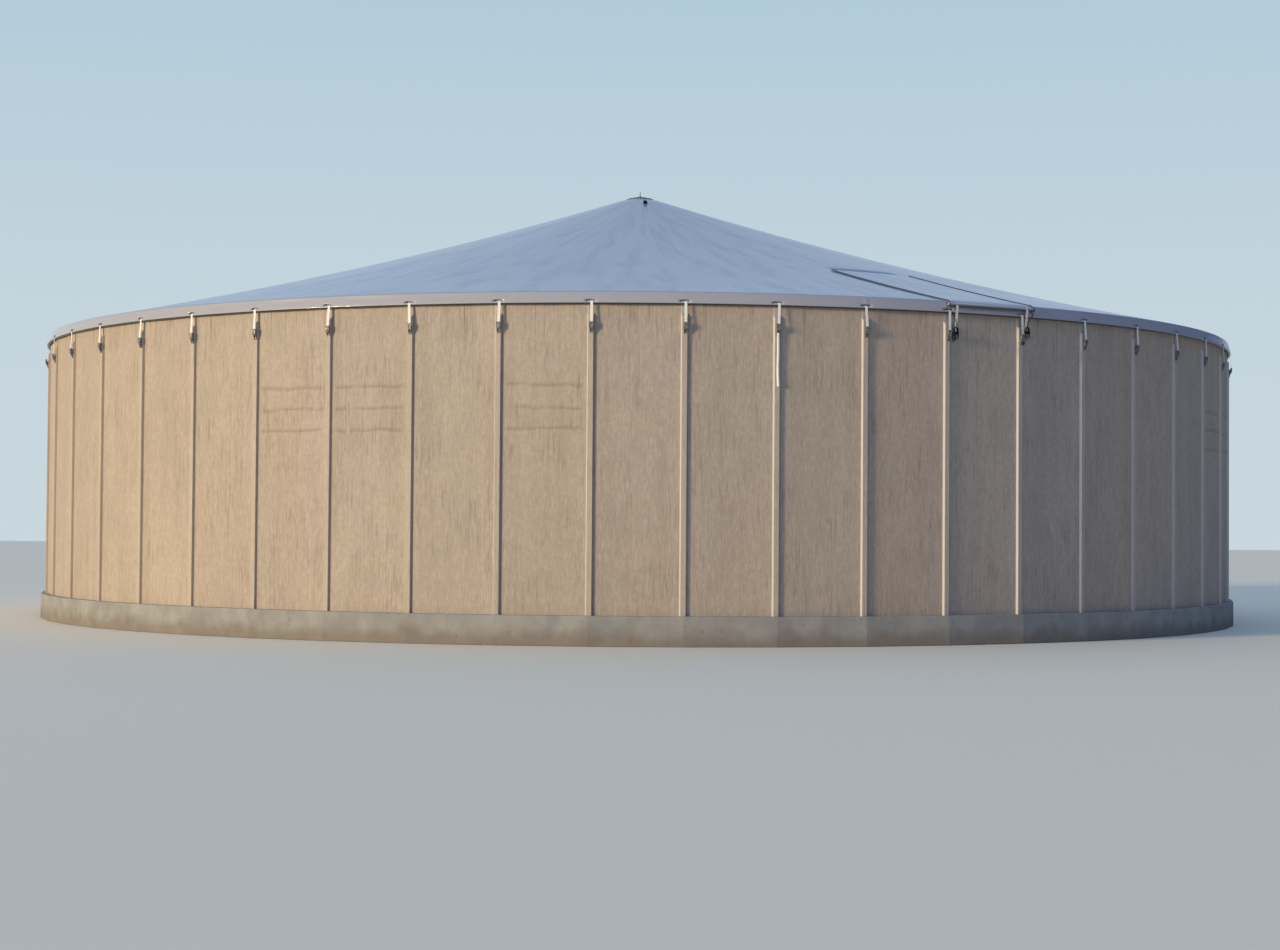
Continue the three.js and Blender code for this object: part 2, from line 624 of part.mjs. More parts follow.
function crownCap() {
  const spikeSeat = 2 * SPIKE_RADIUS;
  return ring([
    [0, coneHeight(0) + GAP],
    [CAP_RADIUS, coneHeight(CAP_RADIUS) + GAP],
    [CAP_RADIUS, coneHeight(CAP_RADIUS) + GAP + CAP_THICKNESS / 2],
    [spikeSeat, CAP_TOP],
    [0, CAP_TOP],
  ]);
}

function crownSpike() {
  const geometry = new THREE.CylinderGeometry(SPIKE_RADIUS / 3, SPIKE_RADIUS, SPIKE_HEIGHT, SPIKE_SIDES);
  return geometry.rotateX(Math.PI / 2).translate(0, 0, CAP_TOP + GAP + SPIKE_HEIGHT / 2);
}

// A small vent hood with a round top that stands on the cover's slope, its mouth downhill.
// It is drawn lying flat, then tilted to the slope and set on the strip of cover that is
// one panel to the right of the front.
function roofVent() {
  const arch = (radius) => [
    [radius, 0],
    ...sideArc(0, VENT_LEG, radius, 0, Math.PI, VENT_SIDES),
    [-radius, 0],
  ];
  const inside = arch(VENT_RADIUS - VENT_WALL);
  const extruded = (points, depth) => new THREE.ExtrudeGeometry(
    new THREE.Shape(points.map(([x, y]) => new THREE.Vector2(x, y))),
    { depth, bevelEnabled: false },
  );
  const hood = extruded([...arch(VENT_RADIUS), ...inside.toReversed()], VENT_LENGTH);
  const back = extruded(arch(VENT_RADIUS - VENT_WALL / 2), VENT_WALL);
  const whole = solid(hood).add(solid(back));
  const inner = VENT_OUT / Math.cos(HALF_PITCH);
  const outer = (VENT_OUT + VENT_LENGTH) / Math.cos(HALF_PITCH);
  const drop = coverHeight(inner * Math.cos(HALF_PITCH), 0) - coverHeight(outer * Math.cos(HALF_PITCH), 0);
  const slope = THREE.MathUtils.radToDeg(Math.atan2(drop, VENT_LENGTH));
  return geometryOf(whole
    .rotate([90, 0, 0])
    .translate([0, 0, GAP])
    .rotate([slope, 0, 0])
    .translate([0, -VENT_OUT, coverHeight(VENT_OUT, 0)])
    .rotate([0, 0, THREE.MathUtils.radToDeg(PITCH_ANGLE)]));
}

addPiece('foundation_slab', foundation(), materials.slabConcrete);
for (let section = 0; section < SECTION_COUNT; section += 1) {
  const number = String(section + 1).padStart(2, '0');
  addPiece(`wall_section_${number}`, wallSection(section), materials.wallConcrete);
}
addPiece('roof_cover', roofCover(), materials.coverFabric);
for (let set = 0; set < SECTION_COUNT; set += 1) {
  const number = String(set + 1).padStart(2, '0');
  addPiece(`hem_tensioners_${number}`, tensionerSet(set), materials.steel);
}
addPiece('access_flap', accessFlap(), materials.coverFabric);
addPiece('flap_tensioners', flapTensioners(), materials.steel);
addPiece('flap_rope_left', edgeRope(FLAP_LEFT + ROPE_FROM_FLAP_EDGE, leftHank), materials.rope);
addPiece('flap_rope_right', edgeRope(FLAP_RIGHT - ROPE_FROM_FLAP_EDGE, rightHank), materials.rope);
addPiece('rope_hank_left', ropeHank(leftHank), materials.rope);
addPiece('rope_hank_right', ropeHank(rightHank), materials.rope);
addPiece('loose_strap_tail', looseTail(), materials.webbing);
addPiece('centre_post', centrePost(), materials.steel);
addPiece('crown_plate', crownPlate(), materials.steel);
addPiece('crown_cap', crownCap(), materials.capPlastic);
addPiece('crown_spike', crownSpike(), materials.steel);
addPiece('roof_vent', roofVent(), materials.capPlastic);

export default group;
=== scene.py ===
# %% [markdown]
# # A slurry storage tank
# The tank is a round wall of precast concrete panels that stands on a concrete foundation.
# A fabric cover shaped like a low tent closes it, and straps with ratchets pull the cover's
# hem down over the wall. The frame holds the tank's plain solids at their real size. This
# lesson gives them their finish, and puts finer meshes where a plain solid is too coarse.

# %% Load the frame
import math
from itertools import accumulate

import bmesh
import bpy
from mathutils import Matrix, Vector


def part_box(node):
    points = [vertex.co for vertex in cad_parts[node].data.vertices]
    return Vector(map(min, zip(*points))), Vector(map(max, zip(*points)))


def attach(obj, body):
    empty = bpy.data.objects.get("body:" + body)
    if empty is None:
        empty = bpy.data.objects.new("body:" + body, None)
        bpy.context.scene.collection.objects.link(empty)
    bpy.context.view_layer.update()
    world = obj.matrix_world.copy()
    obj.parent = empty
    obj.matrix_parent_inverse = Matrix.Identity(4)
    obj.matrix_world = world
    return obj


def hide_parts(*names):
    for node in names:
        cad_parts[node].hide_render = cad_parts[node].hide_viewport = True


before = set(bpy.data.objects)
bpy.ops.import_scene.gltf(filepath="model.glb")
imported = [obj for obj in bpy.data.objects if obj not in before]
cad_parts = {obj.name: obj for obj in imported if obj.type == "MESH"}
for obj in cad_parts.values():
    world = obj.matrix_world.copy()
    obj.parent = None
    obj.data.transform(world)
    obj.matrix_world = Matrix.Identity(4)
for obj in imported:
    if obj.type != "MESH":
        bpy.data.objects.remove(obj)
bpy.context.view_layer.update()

# %% [markdown]
# ## The sizes that everything hangs on
# The wall has one flat panel per step round the circle, with a rib at each joint. A bearing
# is an angle in plan from -Y, where the front panel's middle is, and it grows towards +X.
# All lengths are in metres, and the heights are read from the frame where a node gives them.

# %% Driving sizes of the wall
PANELS = 52
PANEL_PITCH = 1.2
PITCH_ANGLE = 2 * math.pi / PANELS
WALL_CORNER = PANEL_PITCH / (2 * math.sin(PITCH_ANGLE / 2))
WALL_FACE = WALL_CORNER * math.cos(PITCH_ANGLE / 2)
WALL_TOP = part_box("wall_section_01")[1].z
SLAB_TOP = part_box("foundation_slab")[1].z
RIB_DEPTH = 0.030
RIB_FRONT = WALL_CORNER + RIB_DEPTH
SETS = 13
RIBS_PER_SET = PANELS // SETS

print(f"wall corner {WALL_CORNER:.4f}, wall top {WALL_TOP:.3f}, slab top {SLAB_TOP:.3f}")

# %% Driving sizes of the cover and its hem
CREASE_RADIUS = WALL_CORNER + 0.013
CREASE_Z = WALL_TOP + 0.016
CONE_RISE = 2.791
CONE_SAG = 0.22
SKIRT_DROP = 0.173
TUBE_RADIUS = 0.0212
POCKET_RADIUS = 0.0265
TUBE_Z = CREASE_Z - SKIRT_DROP + POCKET_RADIUS
TUBE_LINE = WALL_CORNER + 0.001 + POCKET_RADIUS
HEM_Z = TUBE_Z - POCKET_RADIUS
FLAP_HEM_Z = HEM_Z + 0.097
FLAP_TUBE_Z = FLAP_HEM_Z + POCKET_RADIUS
FLAP_TUBE_LINE = TUBE_LINE + 0.0339
FLAP_BEARING = math.radians(24.4)
FLAP_TOP_RADIUS = 6.85
FLAP_LEFT = -0.05
FLAP_RIGHT = 1.38
ROPE_FROM_EDGE = 0.018
CAP_RADIUS = 0.235
CAP_RISE = 0.057

# %% Places in plan and on the cover
def rib_bearing(rib):
    """The bearing of a rib. Rib 0 is the first one right of the front panel's middle."""
    return (rib + 0.5) * PITCH_ANGLE


def place(radius, bearing, height):
    """The point at a distance from the axis, a bearing and a height."""
    return Vector((radius * math.sin(bearing), -radius * math.cos(bearing), height))


def cone_height(radius):
    """The height of the cover's outer face, which hangs a little hollow."""
    if radius < CAP_RADIUS:
        return cone_height(CAP_RADIUS) + CAP_RISE * (1 - radius / CAP_RADIUS)
    share = radius / CREASE_RADIUS
    return CREASE_Z + CONE_RISE * (1 - share - CONE_SAG * share * (1 - share))


print(f"crown at {cone_height(0):.3f}, hem at {HEM_Z:.3f}")

# %% [markdown]
# ## The camera
# The tank was seen from the front, a little below half its wall's height, from a distance
# of nearly two diameters. A camera is placed by its three axes: where it looks, what is up
# and what is to the right. The small roll is the tilt of a camera held in the hand.

# %% Camera
CAMERA_BEARING = math.radians(0.106)
CAMERA_DISTANCE = 36.78
CAMERA_HEIGHT = 1.557
CAMERA_YAW = 0.0009
CAMERA_PITCH = 0.02363
CAMERA_ROLL = 0.00735
SENSOR_WIDTH = 36.0
FOCAL_LENGTH = 59.085


def add_object(name, data):
    """Puts a new object in the scene."""
    made = bpy.data.objects.new(name, data)
    bpy.context.scene.collection.objects.link(made)
    return made


level = Vector((math.sin(CAMERA_YAW), math.cos(CAMERA_YAW), 0))
right = Vector((math.cos(CAMERA_YAW), -math.sin(CAMERA_YAW), 0))
ahead = level * math.cos(CAMERA_PITCH) + Vector((0, 0, math.sin(CAMERA_PITCH)))
above = right.cross(ahead)
tilted_right = right * math.cos(CAMERA_ROLL) + above * math.sin(CAMERA_ROLL)
tilted_above = tilted_right.cross(ahead)
axes = Matrix((tilted_right, tilted_above, -ahead)).transposed()
turned = Matrix.Rotation(CAMERA_BEARING, 3, "Z") @ axes

camera = add_object("camera", bpy.data.cameras.new("camera"))
camera.data.sensor_width = SENSOR_WIDTH
camera.data.lens = FOCAL_LENGTH
camera.data.clip_end = 500
camera.matrix_world = (
    Matrix.Translation(place(CAMERA_DISTANCE, CAMERA_BEARING, CAMERA_HEIGHT))
    @ turned.to_4x4()
)
bpy.context.scene.camera = camera
print("camera at", [round(x, 3) for x in camera.matrix_world.translation])

# %% [markdown]
# ## How pieces are made from points
# Most of the tank's small pieces are strips, tubes and plates that repeat at every rib. A
# bmesh collects their corners and faces, and one function turns it into an object that
# rides on the tank. A piece is drawn where the bearing is zero, as [across, out, height],
# and a matrix then turns it to its rib.

# %% From a bmesh to a piece of the tank
def finish_piece(bm, name, material, replaced=(), smooth=True):
    """Makes an object of a bmesh, rides it on the tank and hides the nodes it stands for."""
    mesh = bpy.data.meshes.new(name)
    bm.normal_update()
    bm.to_mesh(mesh)
    bm.free()
    piece = add_object(name, mesh)
    mesh.materials.append(material)
    mesh.shade_smooth() if smooth else mesh.shade_flat()
    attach(piece, "root")
    if replaced:
        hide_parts(*replaced)
    return piece


def front(across, out, height):
    """A point of a piece drawn at bearing zero: sideways, out from the axis, and up."""
    return Vector((across, -out, height))


def turn_to(bearing):
    """The matrix that turns a piece drawn at bearing zero to its own bearing."""
    return Matrix.Rotation(bearing, 4, "Z")


def tidy_normals(bm):
    """Turns every face to point out of its own closed shell."""
    bmesh.ops.recalc_face_normals(bm, faces=bm.faces)


# %% Sweeping a section along a route
def join_rings(bm, rings, ends=True):
    """Joins each ring of corners to the next, and closes the first and the last."""
    for ring, after in zip(rings, rings[1:]):
        for k in range(len(ring)):
            n = (k + 1) % len(ring)
            bm.faces.new((ring[k], ring[n], after[n], after[k]))
    if ends:
        bm.faces.new(list(reversed(rings[0])))
        bm.faces.new(rings[-1])


def headings(points):
    """The direction of a route at each of its points."""
    ends = len(points) - 1
    return [
        (points[min(i + 1, ends)] - points[max(i - 1, 0)]).normalized() for i in range(len(points))
    ]


def sweep(bm, route, section):
    """A closed tube: section(i) gives the [x, y] corners round the i-th point of the route."""
    points = [Vector(p) for p in route]
    heading = headings(points)
    side = heading[0].orthogonal().normalized()
    rings = []
    for i, (point, along) in enumerate(zip(points, heading)):
        side = (side - along * side.dot(along)).normalized()
        up = along.cross(side)
        rings.append([bm.verts.new(point + side * x + up * y) for x, y in section(i)])
    join_rings(bm, rings)


def round_section(radius, sides):
    """The corners of a round section."""
    angles = [2 * math.pi * k / sides for k in range(sides)]
    return [(radius * math.cos(a), radius * math.sin(a)) for a in angles]


# %% Bands and plates drawn side-on
def around(centre, reach, angle):
    """A side-on point at a distance and an angle from a centre."""
    return centre[0] + reach * math.cos(angle), centre[1] + reach * math.sin(angle)


def band(bm, route, width, thickness, matrix=Matrix.Identity(4), middle=0.0):
    """A flat strip along a side-on route of [out, height] points."""
    points = [Vector(p) for p in route]
    rows = []
    for point, along in zip(points, headings(points)):
        off = Vector((-along.y, along.x)) * thickness / 2
        corners = [
            (s * width / 2 + middle, *(point + off * t))
            for s, t in ((-1, -1), (1, -1), (1, 1), (-1, 1))
        ]
        rows.append([bm.verts.new(matrix @ front(*c)) for c in corners])
    join_rings(bm, rows)


def plate(bm, outline, low, high):
    """A flat plate whose outline is drawn side-on, between two distances across."""
    join_rings(bm, [[bm.verts.new(front(x, *p)) for p in outline] for x in (low, high)])


# %% [markdown]
# ## Nodes in one line each
# A procedural material is a small program drawn as a tree of nodes. A few helpers keep it
# short: they add a node and fill its inputs with numbers or with other nodes' outputs. A
# node group is a part of the program that several materials share, with named inputs and
# outputs, and each material gives it values of its own.

# %% Helpers for shader nodes
def fill(tree, made, inputs):
    """Fills a node's inputs, named or numbered, with values or with other nodes' outputs."""
    for key, value in inputs.items():
        if isinstance(value, bpy.types.NodeSocket):
            tree.links.new(value, made.inputs[key])
        else:
            made.inputs[key].default_value = value


def node(tree, kind, inputs=None, **settings):
    """Adds a node, sets it and fills its inputs."""
    made = tree.nodes.new(kind)
    for key, value in settings.items():
        setattr(made, key, value)
    fill(tree, made, inputs or {})
    return made


def math_node(tree, operation, *values):
    """The output of a Math node."""
    return node(tree, "ShaderNodeMath", dict(enumerate(values)), operation=operation).outputs[0]


def times(tree, *values):
    """The product of two or more values."""
    product = values[0]
    for value in values[1:]:
        product = math_node(tree, "MULTIPLY", product, value)
    return product


def smooth_step(tree, value, low, high):
    """Zero below low, one above high, and a soft rise between them."""
    inputs = {"Value": value, "From Min": low, "From Max": high}
    return node(tree, "ShaderNodeMapRange", inputs, interpolation_type="SMOOTHSTEP").outputs["Result"]


# %% Helpers for colours and textures
def mix_colours(tree, share, first, second):
    """Mixes two colours by a share from 0 to 1. Inputs 6 and 7 of a Mix node are its colours."""
    return node(tree, "ShaderNodeMix", {0: share, 6: first, 7: second}, data_type="RGBA").outputs[2]


def layered(tree, colour, *layers):
    """Lays colours over a colour. A layer is a mask, its strength and the colour it shows."""
    for mask, strength, over in layers:
        colour = mix_colours(tree, times(tree, mask, strength), colour, over)
    return colour


def surface_place(tree):
    """The place of a point of the surface, as a vector and as its X, Y and Z."""
    spot = node(tree, "ShaderNodeTexCoord").outputs["Object"]
    return spot, node(tree, "ShaderNodeSeparateXYZ", {0: spot}).outputs


def surface_bearing(tree, parts):
    """The bearing of a point of the surface."""
    return math_node(tree, "ARCTAN2", parts["X"], times(tree, parts["Y"], -1.0))


def noise(tree, spot, scale, detail, roughness=0.5, distortion=0.0):
    """The grey value of a noise texture."""
    inputs = {
        "Vector": spot, "Scale": scale, "Detail": detail, "Roughness": roughness,
        "Distortion": distortion,
    }
    return node(tree, "ShaderNodeTexNoise", inputs).outputs["Fac"]


# %% Helpers for node groups
def start_group(name, inputs, outputs):
    """A node group with named number sockets: its tree, what it is given and its end."""
    tree = bpy.data.node_groups.new(name, "ShaderNodeTree")
    for label, value in inputs.items():
        socket = tree.interface.new_socket(name=label, in_out="INPUT", socket_type="NodeSocketFloat")
        socket.default_value = value
    for label in outputs:
        tree.interface.new_socket(name=label, in_out="OUTPUT", socket_type="NodeSocketFloat")
    return tree, tree.nodes.new("NodeGroupInput").outputs, tree.nodes.new("NodeGroupOutput")


def use_group(tree, group, inputs=None):
    """Places a node group in a material."""
    return node(tree, "ShaderNodeGroup", inputs, node_tree=group).outputs


# %% [markdown]
# ## Run marks
# Rain washes dirt down a wall and down a fabric skirt in long thin streaks. Noise whose
# coordinates are squeezed along Z gives such streaks on any upright surface. The group has
# two layers, broad soft runs and thin sharp ones, because real runs have both.

# %% Node group: run marks
def run_marks_group():
    tree, given, end = start_group(
        "Run marks", {"Across": 9.0, "Length": 0.12, "Sharpness": 0.5}, ["Runs", "Thin runs"],
    )
    _, parts = surface_place(tree)
    stretched = times(tree, parts["Z"], given["Length"])
    squeezed = node(tree, "ShaderNodeCombineXYZ", {0: parts["X"], 1: parts["Y"], 2: stretched}).outputs[0]
    broad = noise(tree, squeezed, given["Across"], 4.0, roughness=0.6)
    thin = noise(tree, squeezed, times(tree, given["Across"], 5.5), 2.0)
    low = math_node(tree, "SUBTRACT", 0.6, times(tree, given["Sharpness"], 0.14))
    fill(tree, end, {
        "Runs": smooth_step(tree, broad, 0.35, 0.68),
        "Thin runs": smooth_step(tree, thin, low, 0.74),
    })
    return tree


run_marks = run_marks_group()
print("group", run_marks.name, "with", len(run_marks.nodes), "nodes")

# %% [markdown]
# ## Panel tone
# Each precast panel comes from its own pour, so neighbours differ a little in tone. The
# bearing of a point, divided by the pitch and rounded, numbers its panel, and white noise
# turns that number into a steady random value. A few panels have level pour marks, and
# they are named by number. What is left after rounding gives the distance from the ribs.

# %% Node group: panel tone
BANDED_PANELS = (-4, -3, -1, 9, 10, 16, 22, -13, -19)


def panel_tone_group():
    tree, _, end = start_group(
        "Panel tone", {}, ["Tone", "Second tone", "Banded", "After rib", "From rib"],
    )
    _, parts = surface_place(tree)
    steps = math_node(tree, "DIVIDE", surface_bearing(tree, parts), PITCH_ANGLE)
    number = math_node(tree, "ROUND", steps)
    banded = 0.0
    for panel in BANDED_PANELS:
        banded = math_node(tree, "ADD", banded, math_node(tree, "COMPARE", number, float(panel), 0.4))
    past_middle = math_node(tree, "SUBTRACT", steps, number)
    after = times(tree, math_node(tree, "ADD", past_middle, 0.5), PANEL_PITCH)
    before = math_node(tree, "SUBTRACT", PANEL_PITCH, after)
    tones = [
        node(tree, "ShaderNodeTexWhiteNoise", {"W": w}, noise_dimensions="1D").outputs["Value"]
        for w in (number, math_node(tree, "ADD", number, 0.37))
    ]
    fill(tree, end, {
        "Tone": tones[0], "Second tone": tones[1], "Banded": banded, "After rib": after,
        "From rib": math_node(tree, "MINIMUM", after, before),
    })
    return tree


panel_tone = panel_tone_group()
print("group", panel_tone.name, "marks", len(BANDED_PANELS), "panels with pour lines")

# %% [markdown]
# ## Concrete grain
# Fair-faced concrete is smooth with small air holes, a cloudy cement skin and a fine sandy
# grain. A Voronoi texture gives the holes: only its smallest distances count, and only in
# some cells. The group puts out a height for the bump and a mask of the holes, which the
# materials darken as painted shade.

# %% Node group: concrete grain
def concrete_grain_group():
    tree, given, end = start_group(
        "Concrete grain", {"Hole size": 22.0, "Hole share": 0.35, "Sand": 0.25},
        ["Height", "Holes", "Clouds", "Mottle"],
    )
    spot, _ = surface_place(tree)
    cells = node(tree, "ShaderNodeTexVoronoi", {"Vector": spot, "Scale": given["Hole size"]}).outputs
    pick = node(tree, "ShaderNodeSeparateColor", {0: cells["Color"]}).outputs[0]
    chosen = math_node(tree, "LESS_THAN", pick, given["Hole share"])
    holes = times(tree, smooth_step(tree, cells["Distance"], 0.16, 0.06), chosen)
    sand = times(tree, noise(tree, spot, 260.0, 3.0), given["Sand"])
    clouds = noise(tree, spot, 2.3, 6.0, roughness=0.62, distortion=0.4)
    mottle = noise(tree, spot, 17.0, 5.0, roughness=0.75)
    fill(tree, end, {
        "Height": math_node(tree, "SUBTRACT", sand, holes), "Holes": holes,
        "Clouds": smooth_step(tree, clouds, 0.3, 0.7),
        "Mottle": smooth_step(tree, mottle, 0.38, 0.64),
    })
    return tree


concrete_grain = concrete_grain_group()
print("group", concrete_grain.name, "with", len(concrete_grain.nodes), "nodes")

# %% Starting a material
def start_material(name):
    """A material with its tree and its main shader."""
    material = bpy.data.materials.new(name)
    material.use_nodes = True
    return material, material.node_tree, material.node_tree.nodes["Principled BSDF"]


def bump(tree, height, distance):
    """A bump of a height map, in metres for a height of one."""
    return node(tree, "ShaderNodeBump", {"Height": height, "Distance": distance}).outputs["Normal"]


# %% [markdown]
# ## The wall's concrete
# The panels are light grey-beige and matt. What the eye sees first from a distance is the
# long vertical run marks, dark ones and thin pale ones, then each panel's own tone and a
# sandy mottle. Drips start below the hem. The corner on the shaded side of each rib is
# darkened and browned, painted shade with some dirt, and the ribs are paler than the panels.
# The sloped side of each rib that faces the lamp is paler still, a painted highlight. A few
# panels have faint level bands at mid height, where one batch was poured on another: height
# alone makes them, bent by noise.

# %% Masks of the wall's pour lines and drips
BAND_SPACING = 0.28
BAND_START = 2.745
BAND_LOW = 2.6
BAND_HIGH = 3.44
RIB_HALF = 0.047
RIB_FRONT_HALF = 0.033
DRIPS_REACH = 0.75


def pour_bands(tree, tones):
    """A mask of soft level lines at mid height on some of the panels."""
    spot, parts = surface_place(tree)
    height = parts["Z"]
    wander = math_node(tree, "SUBTRACT", noise(tree, spot, 2.4, 4.0), 0.5)
    bent = math_node(tree, "MULTIPLY_ADD", wander, 0.13, height)
    steps = math_node(tree, "DIVIDE", math_node(tree, "SUBTRACT", bent, BAND_START), BAND_SPACING)
    phase = math_node(tree, "FRACT", steps)
    return times(
        tree, smooth_step(tree, phase, 0.0, 0.09), smooth_step(tree, phase, 0.3, 0.1),
        smooth_step(tree, height, BAND_LOW, BAND_LOW + 0.1),
        smooth_step(tree, height, BAND_HIGH, BAND_HIGH - 0.06),
        smooth_step(tree, noise(tree, spot, 7.0, 5.0), 0.25, 0.5),
        smooth_step(tree, tones["From rib"], RIB_HALF + 0.02, RIB_HALF + 0.09), tones["Banded"],
    )


def drip_marks(tree):
    """A mask of short thin drips that start below the hem."""
    _, parts = surface_place(tree)
    drips = use_group(tree, run_marks, {"Across": 9.0, "Length": 0.02, "Sharpness": 0.1})
    return times(tree, drips["Thin runs"], smooth_step(tree, parts["Z"], HEM_Z - DRIPS_REACH, HEM_Z - 0.1))


# %% Masks of the ribs' corner, painted shade with dirt, and of their side with a painted highlight
def corner_shade_and_dirt(tree, after_rib):
    """A mask of painted shade, with some dirt, in the corner on the shaded side of each rib, soft towards
    the panel.
    """
    return times(
        tree, smooth_step(tree, after_rib, RIB_HALF - 0.014, RIB_HALF - 0.006),
        smooth_step(tree, after_rib, RIB_HALF + 0.03, RIB_HALF),
    )


def painted_highlight_edge(tree, after_rib):
    """A mask of the sloped side of each rib that faces left, towards the lamp, where a painted highlight
    goes.
    """
    foot, top = PANEL_PITCH - RIB_HALF, PANEL_PITCH - RIB_FRONT_HALF
    return times(
        tree, smooth_step(tree, after_rib, foot - 0.002, foot),
        smooth_step(tree, after_rib, top + 0.002, top),
    )


# %% Material: wall concrete
def wall_concrete_material():
    material, tree, shader = start_material("wall_concrete")
    runs = use_group(tree, run_marks, {"Across": 6.0, "Length": 0.07, "Sharpness": 1.0})
    fine = use_group(tree, run_marks, {"Across": 15.0, "Length": 0.09, "Sharpness": 1.0})
    stains = use_group(tree, run_marks, {"Across": 2.1, "Length": 0.22, "Sharpness": 0.0})
    grain = use_group(tree, concrete_grain, {"Hole size": 26.0, "Hole share": 0.22, "Sand": 0.3})
    tones = use_group(tree, panel_tone)
    spot, _ = surface_place(tree)
    marked = smooth_step(tree, noise(tree, spot, 1.7, 4.0), 0.38, 0.62)
    on_rib = smooth_step(tree, tones["From rib"], RIB_HALF, RIB_HALF - 0.004)
    pale = (0.505, 0.417, 0.338, 1)
    dull = (0.363, 0.30, 0.248, 1)
    warm = (0.465, 0.368, 0.284, 1)
    grey = (0.433, 0.379, 0.333, 1)
    colour = layered(
        tree, pale,
        (tones["Tone"], 1.0, warm),
        (tones["Second tone"], 0.6, grey),
        (runs["Runs"], 0.5, dull),
        (grain["Clouds"], 0.35, pale),
        (stains["Runs"], 0.4, dull),
        (grain["Mottle"], 0.42, (0.33, 0.275, 0.232, 1)),
        (times(tree, runs["Thin runs"], marked), 0.55, (0.25, 0.198, 0.16, 1)),
        (fine["Thin runs"], 0.38, (0.62, 0.535, 0.455, 1)),
        (drip_marks(tree), 0.6, (0.17, 0.105, 0.068, 1)),
        (pour_bands(tree, tones), 0.34, (0.22, 0.145, 0.095, 1)),
        (on_rib, 0.3, (0.56, 0.50, 0.44, 1)),
        # painted highlight: the sloped side of each rib that faces the lamp is painted paler
        (painted_highlight_edge(tree, tones["After rib"]), 0.7, (0.58, 0.555, 0.58, 1)),
        # painted shade with some dirt: the corner on each rib's shaded side is darkened and browned
        (corner_shade_and_dirt(tree, tones["After rib"]), 0.3, (0.20, 0.09, 0.035, 1)),
        # painted shade in the air holes
        (grain["Holes"], 0.6, (0.12, 0.10, 0.085, 1)),
    )
    fill(tree, shader, {
        "Base Color": colour, "Specular IOR Level": 0.2,
        "Roughness": math_node(tree, "MULTIPLY_ADD", runs["Runs"], 0.12, 0.8),
        "Normal": bump(tree, grain["Height"], 0.002),
    })
    return material


wall_concrete = wall_concrete_material()
print("wall concrete has", len(wall_concrete.node_tree.nodes), "nodes")

# %% [markdown]
# ## The foundation's concrete
# The slab edge was cast against boards, and it stands where earth and splashes reach it. It
# is a little cooler and rougher than the wall, with bigger holes and a dirty foot.

# %% Material: slab concrete
def slab_concrete_material():
    material, tree, shader = start_material("slab_concrete")
    grain = use_group(tree, concrete_grain, {"Hole size": 13.0, "Hole share": 0.3, "Sand": 0.5})
    runs = use_group(tree, run_marks, {"Across": 4.0, "Length": 0.4, "Sharpness": 0.3})
    spot, parts = surface_place(tree)
    splash = math_node(tree, "MULTIPLY_ADD", noise(tree, spot, 3.1, 5.0), -0.35, parts["Z"])
    colour = layered(
        tree, (0.37, 0.36, 0.34, 1),
        (grain["Clouds"], 1.0, (0.29, 0.285, 0.28, 1)),
        (runs["Runs"], 0.35, (0.21, 0.2, 0.19, 1)),
        # painted shade in the air holes
        (grain["Holes"], 0.7, (0.09, 0.085, 0.08, 1)),
        (smooth_step(tree, splash, 0.1, -0.12), 0.55, (0.17, 0.125, 0.085, 1)),
    )
    fill(tree, shader, {
        "Base Color": colour, "Roughness": 0.92, "Specular IOR Level": 0.2,
        "Normal": bump(tree, grain["Height"], 0.004),
    })
    return material


slab_concrete = slab_concrete_material()
print("slab concrete has", len(slab_concrete.node_tree.nodes), "nodes")

# %% [markdown]
# ## Dressing the wall and the slab
# Their solids already have the right shape, so they keep it. Cast edges are never sharp, so
# a Bevel modifier rounds them by a few millimetres, which catches the light along each rib.
# A Weighted Normal modifier keeps the large faces flat in the low light. Both leave the
# solid's own mesh alone.

# %% Wall and slab
CAST_EDGE = 0.004
SLAB_EDGE = 0.012
STEEL_EDGE = 0.001


def dress_node(name, material, edge=CAST_EDGE):
    """Gives a node its material and slightly rounded edges."""
    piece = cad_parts[name]
    piece.data.materials.clear()
    piece.data.materials.append(material)
    piece.modifiers.new("shared corners", "WELD").merge_threshold = 1e-5
    soft = piece.modifiers.new("cast edge", "BEVEL")
    soft.width = edge
    soft.segments = 2
    soft.limit_method = "ANGLE"
    soft.angle_limit = math.radians(28)
    flat = piece.modifiers.new("flat faces", "WEIGHTED_NORMAL")
    flat.weight = 100
    flat.keep_sharp = True


for number in range(1, SETS + 1):
    dress_node(f"wall_section_{number:02d}", wall_concrete)
dress_node("foundation_slab", slab_concrete, SLAB_EDGE)
print("dressed", SETS, "wall sections and the slab")

# %% [markdown]
# ## Weave
# The straps are woven from thick yarn, and the cover's coated cloth still shows its weave
# faintly. Two waves at right angles, one across and one along, make a plain weave. It needs
# coordinates that follow the cloth, so the group takes them as two numbers.

# %% Node group: weave
def weave_group():
    tree, given, end = start_group("Weave", {"Along": 0.0, "Across": 0.0, "Threads": 500.0}, ["Height"])
    turn = times(tree, given["Threads"], 2 * math.pi)
    waves = [math_node(tree, "SINE", times(tree, given[way], turn)) for way in ("Along", "Across")]
    fill(tree, end, {"Height": math_node(tree, "MULTIPLY_ADD", times(tree, *waves), 0.5, 0.5)})
    return tree


weave = weave_group()
print("group", weave.name, "with", len(weave.nodes), "nodes")

